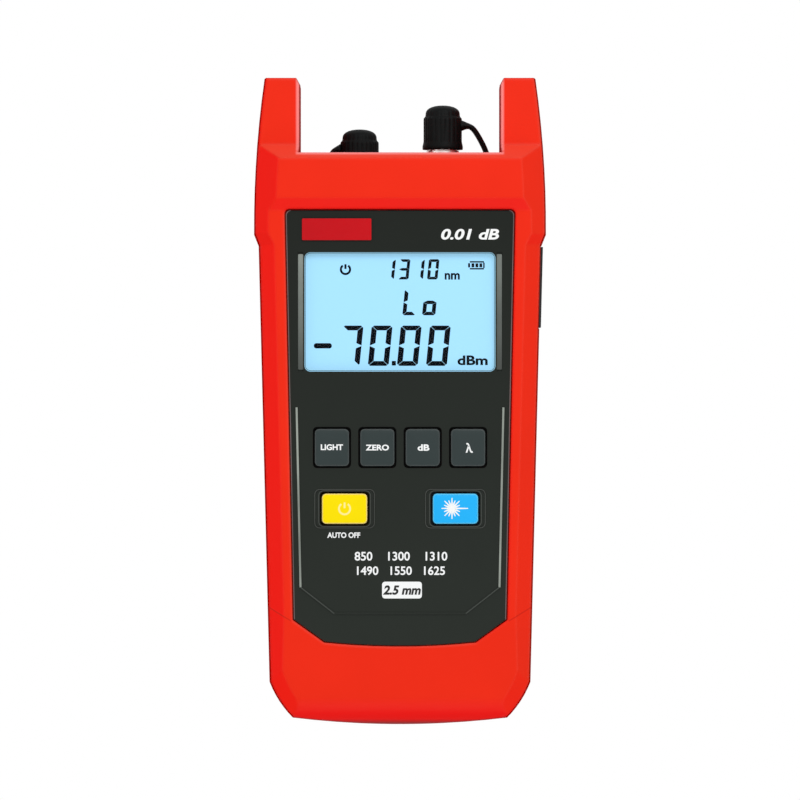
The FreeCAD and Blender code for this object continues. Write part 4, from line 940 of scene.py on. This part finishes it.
low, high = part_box("key_power")
bm = bmesh.new()
power_symbol(bm, (low + high) / 2, 1.7 * MM, 0.56 * MM, above_keys)
drape(bm, key_faces["key_power"])
add_piece(bm, "power_symbol", pale_yellow, "power_button")

# a light burst: a round core, short rays all round and one long ray to the right
low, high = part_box("key_laser")
burst = (low + high) / 2 + Vector((-1.05, 0.1, 0)) * MM
burst.z = above_keys
core = 1.1 * MM
ray_count = 16
ray_root, ray_tip = 0.26 * MM, 0.14 * MM
bm = bmesh.new()
bmesh.ops.create_circle(bm, cap_ends=True, segments=24, radius=core,
                        matrix=Matrix.Translation(burst))
for ray in range(ray_count):
    turn = Matrix.Rotation(2 * math.pi * ray / ray_count, 4, "Z")
    reach = (4.9 if ray == 0 else 3.2 if ray % 2 == 0 else 2.6) * MM
    ends = [(core * 0.9, -ray_root), (reach, -ray_tip), (reach, ray_tip), (core * 0.9, ray_root)]
    bm.faces.new([bm.verts.new(burst + turn @ Vector((x, y, 0))) for x, y in ends])
drape(bm, key_faces["key_laser"])
add_piece(bm, "light_burst", white_print, "laser_button")


# ---- Dust caps
# Two soft rubber cups that push over the ports. Fine flutes run from above the rim to the
# shoulder and on over the nose, whose top is rounded.
cap_rubber = moulded("cap_rubber", srgb(8, 10, 10), rough=0.6, grain=0.12, depth=0.15, soft=0.0,
                     mottle=0.06, specular=0.1)
flute_count = 22
flute_steps = 6
flute_deep = 0.24 * MM
flute_from, flute_to = 2.3, 12.3
shoulder, nose_share = 9.5, 0.6
skin = 5.0 * MM
# the profiles are radius and distance from the rim, in millimetres
cap_inside = [(0.0, 12.0), (4.7, 11.8), (4.7, 0.6)]
cap_profile = [(4.7, 0.0), (6.05, 0.0), (6.2, 0.15), (6.2, 1.0), (6.1, 1.5), (5.95, 2.1),
               (5.9, 2.6), (5.9, 9.2), (5.85, 9.6), (5.55, 9.95), (5.38, 10.15), (5.3, 10.5),
               (5.25, 11.2), (5.1, 11.75), (4.75, 12.25), (4.2, 12.7), (3.4, 13.1),
               (2.3, 13.4), (1.2, 13.55), (0.0, 13.6)]
for name, body in (("meter_cap", "power_port_cap"), ("laser_cap", "laser_port_cap")):
    low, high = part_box(name)
    axis_x = (low.x + high.x) / 2
    axis_z = (low.z + high.z) / 2
    bm = bmesh.new()
    spots = [bm.verts.new((axis_x + radius * MM, low.y + along * MM, axis_z))
             for radius, along in cap_inside + cap_profile]
    edges = [bm.edges.new(pair) for pair in zip(spots, spots[1:])]
    bmesh.ops.spin(bm, geom=spots + edges, cent=(axis_x, 0, axis_z), axis=(0, 1, 0),
                   angle=2 * math.pi, steps=flute_count * flute_steps, use_merge=True)
    bmesh.ops.remove_doubles(bm, verts=bm.verts, dist=0.001 * MM)
    for vertex in bm.verts:
        out = Vector((vertex.co.x - axis_x, 0, vertex.co.z - axis_z))
        along = (vertex.co.y - low.y) / MM
        if out.length > skin and flute_from < along < flute_to:
            angle = math.atan2(out.z, out.x) * flute_count
            share = max(0.0, math.cos(angle)) ** 2 * (nose_share if along > shoulder else 1.0)
            vertex.co -= out.normalized() * flute_deep * share
    cap = add_piece(bm, name + "_rubber", cap_rubber, body, smooth_angle=50.0)
    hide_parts(name)


# ---- Tethers
# A flat rubber strap runs from a ring round each port's neck, bows outwards behind the wall
# and flares into the shoulder of its cap.
strap_wide = 5.0 * MM
strap_thick = 1.7 * MM
strap_sides = 16
flare_from, flare_more = 0.86, 1.1
ring_thick = 1.4 * MM
ring_bore = 5.15 * MM
ring_radius = 6.6 * MM
root_out = 6.4    # where the strap leaves the ring, in millimetres, as the route's points are
for name, cap, body, side, bow in (
    ("meter_tether", "meter_cap", "power_port_cap", -1, 0.66),
    ("laser_tether", "laser_cap", "laser_port_cap", 1, 1.04),
):
    low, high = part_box(name)
    cap_low, cap_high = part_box(cap)
    axis_x = (cap_low.x + cap_high.x) / 2
    axis_z = (cap_low.z + cap_high.z) / 2
    ring_y = low.y + 0.9 * MM
    fall = (cap_low.y - ring_y) / MM
    route = [(root_out, -fall), (10.0, -fall), (14.0, -fall * 0.85), (13.6, -fall * 0.2),
             (12.0, 1.9), (10.3, 5.0), (8.8, 7.2), (7.2, 7.4), (5.6, 7.4)]
    curve = bpy.data.curves.new(name + "_route", "CURVE")
    curve.dimensions = "3D"
    curve.resolution_u = 6
    spline = curve.splines.new("NURBS")
    spline.points.add(len(route) - 1)
    for point, (out, along) in zip(spline.points, route):
        spread_out = root_out + (out - root_out) * bow
        point.co = (axis_x + side * spread_out * MM, cap_low.y + along * MM, axis_z, 1)
    spline.order_u = 4
    spline.use_endpoint_u = True
    guide = bpy.data.objects.new(name + "_route", curve)
    line = [vertex.co.copy() for vertex in bpy.data.meshes.new_from_object(guide).vertices]
    bpy.data.objects.remove(guide)
    bpy.data.curves.remove(curve)

    bm = bmesh.new()
    rings = []
    for index, spot in enumerate(line):
        ahead = line[min(index + 1, len(line) - 1)] - line[max(index - 1, 0)]
        across = Vector((0, 0, 1)).cross(ahead.normalized())
        share = index / (len(line) - 1)
        flare = 1.0 + flare_more * max(0.0, (share - flare_from) / (1.0 - flare_from)) ** 2
        turn = Matrix((across, Vector((0, 0, 1)), ahead.normalized())).transposed().to_4x4()
        spread = Matrix.Diagonal((strap_thick / 2 * flare, strap_wide / 2, 1, 1))
        ring = bmesh.ops.create_circle(bm, segments=strap_sides, radius=1.0,
                                       matrix=Matrix.Translation(spot) @ turn @ spread)["verts"]
        rings.append({edge for vertex in ring for edge in vertex.link_edges})
    for here, after in zip(rings, rings[1:]):
        bmesh.ops.bridge_loops(bm, edges=list(here | after))
    bmesh.ops.holes_fill(bm, edges=list(rings[0] | rings[-1]))

    # the ring that the strap grows from, round the port's neck
    ring_high = low.y + ring_thick
    corners = [(ring_bore, low.y), (ring_radius, low.y), (ring_radius, ring_high),
               (ring_bore, ring_high)]
    spots = [bm.verts.new((axis_x + radius, along, axis_z)) for radius, along in corners]
    edges = [bm.edges.new(pair) for pair in zip(spots, spots[1:] + spots[:1])]
    bmesh.ops.spin(bm, geom=spots + edges, cent=(axis_x, 0, axis_z), axis=(0, 1, 0),
                   angle=2 * math.pi, steps=48, use_merge=True)
    bmesh.ops.remove_doubles(bm, verts=bm.verts, dist=0.001 * MM)
    strap = add_piece(bm, name + "_strap", cap_rubber, None)
    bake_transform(strap)
    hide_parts(name)


# ---- Ports, detector and laser
# Nickel-plated brass receptacles screwed through the floor of the bay. Behind one sits the
# detector's plated can and behind the other the laser in its turned brass tube.
nickel = moulded("nickel", srgb(246, 242, 238), rough=0.32, grain=0.1, depth=0.05, soft=0.15,
                 mottle=0.03, metal=0.75, specular=0.5)
plated_can = moulded("plated_can", srgb(190, 184, 170), rough=0.32, grain=0.1, depth=0.05,
                     soft=0.15, mottle=0.05, metal=1.0, specular=0.5)
turned_brass = moulded("turned_brass", srgb(198, 160, 92), rough=0.3, grain=0.08, depth=0.1,
                       soft=0.15, mottle=0.05, metal=1.0, specular=0.5)
dress(nickel, "meter_port", "laser_port")
dress(plated_can, "detector")
dress(turned_brass, "laser_module")


# ---- Charging port
# A soft black flap let into the right side keeps dust off the moulded jack behind it. The flap
# opens on its lower end.
flap_rubber = moulded("flap_rubber", srgb(30, 30, 31), rough=0.62, grain=0.14, depth=0.15,
                      soft=0.2, mottle=0.06)
jack_plastic = moulded("jack_plastic", srgb(22, 22, 23), rough=0.4, grain=0.2, depth=0.05,
                       soft=0.15)
dress(flap_rubber, "port_cover")
dress(jack_plastic, "charge_jack")


# ---- Inside
# A green board with its keypad mat of grey silicone, the milky light guide behind the display,
# and three cells in shrink film between plated spring contacts.
board_mask = moulded("board_mask", srgb(16, 84, 44), rough=0.35, grain=0.6, depth=0.15, soft=0.1,
                     mottle=0.12)
mat_silicone = moulded("mat_silicone", srgb(118, 120, 120), rough=0.7, grain=0.2, depth=0.12,
                       soft=0.2, mottle=0.05)
milky_guide = moulded("milky_guide", srgb(232, 238, 244), rough=0.35, grain=0.4, depth=0.04,
                      soft=0.2, mottle=0.02)
cell_film = moulded("cell_film", srgb(36, 106, 66), rough=0.28, grain=0.8, depth=0.04, soft=0.1,
                    mottle=0.08, specular=0.5)
dress(board_mask, "main_board")
dress(mat_silicone, "keypad_mat")
dress(milky_guide, "light_guide")
dress(cell_film, "cell_1", "cell_2", "cell_3")
dress(nickel, "battery_contacts")


# ---- Screws
# Four black-zinc screws, countersunk deep in the corners of the rear shell, hold the two shells
# together.
black_zinc = moulded("black_zinc", srgb(72, 72, 76), rough=0.38, grain=0.08, depth=0.08,
                     soft=0.1, mottle=0.08, metal=1.0, specular=0.5)
dress(black_zinc, "shell_screws")
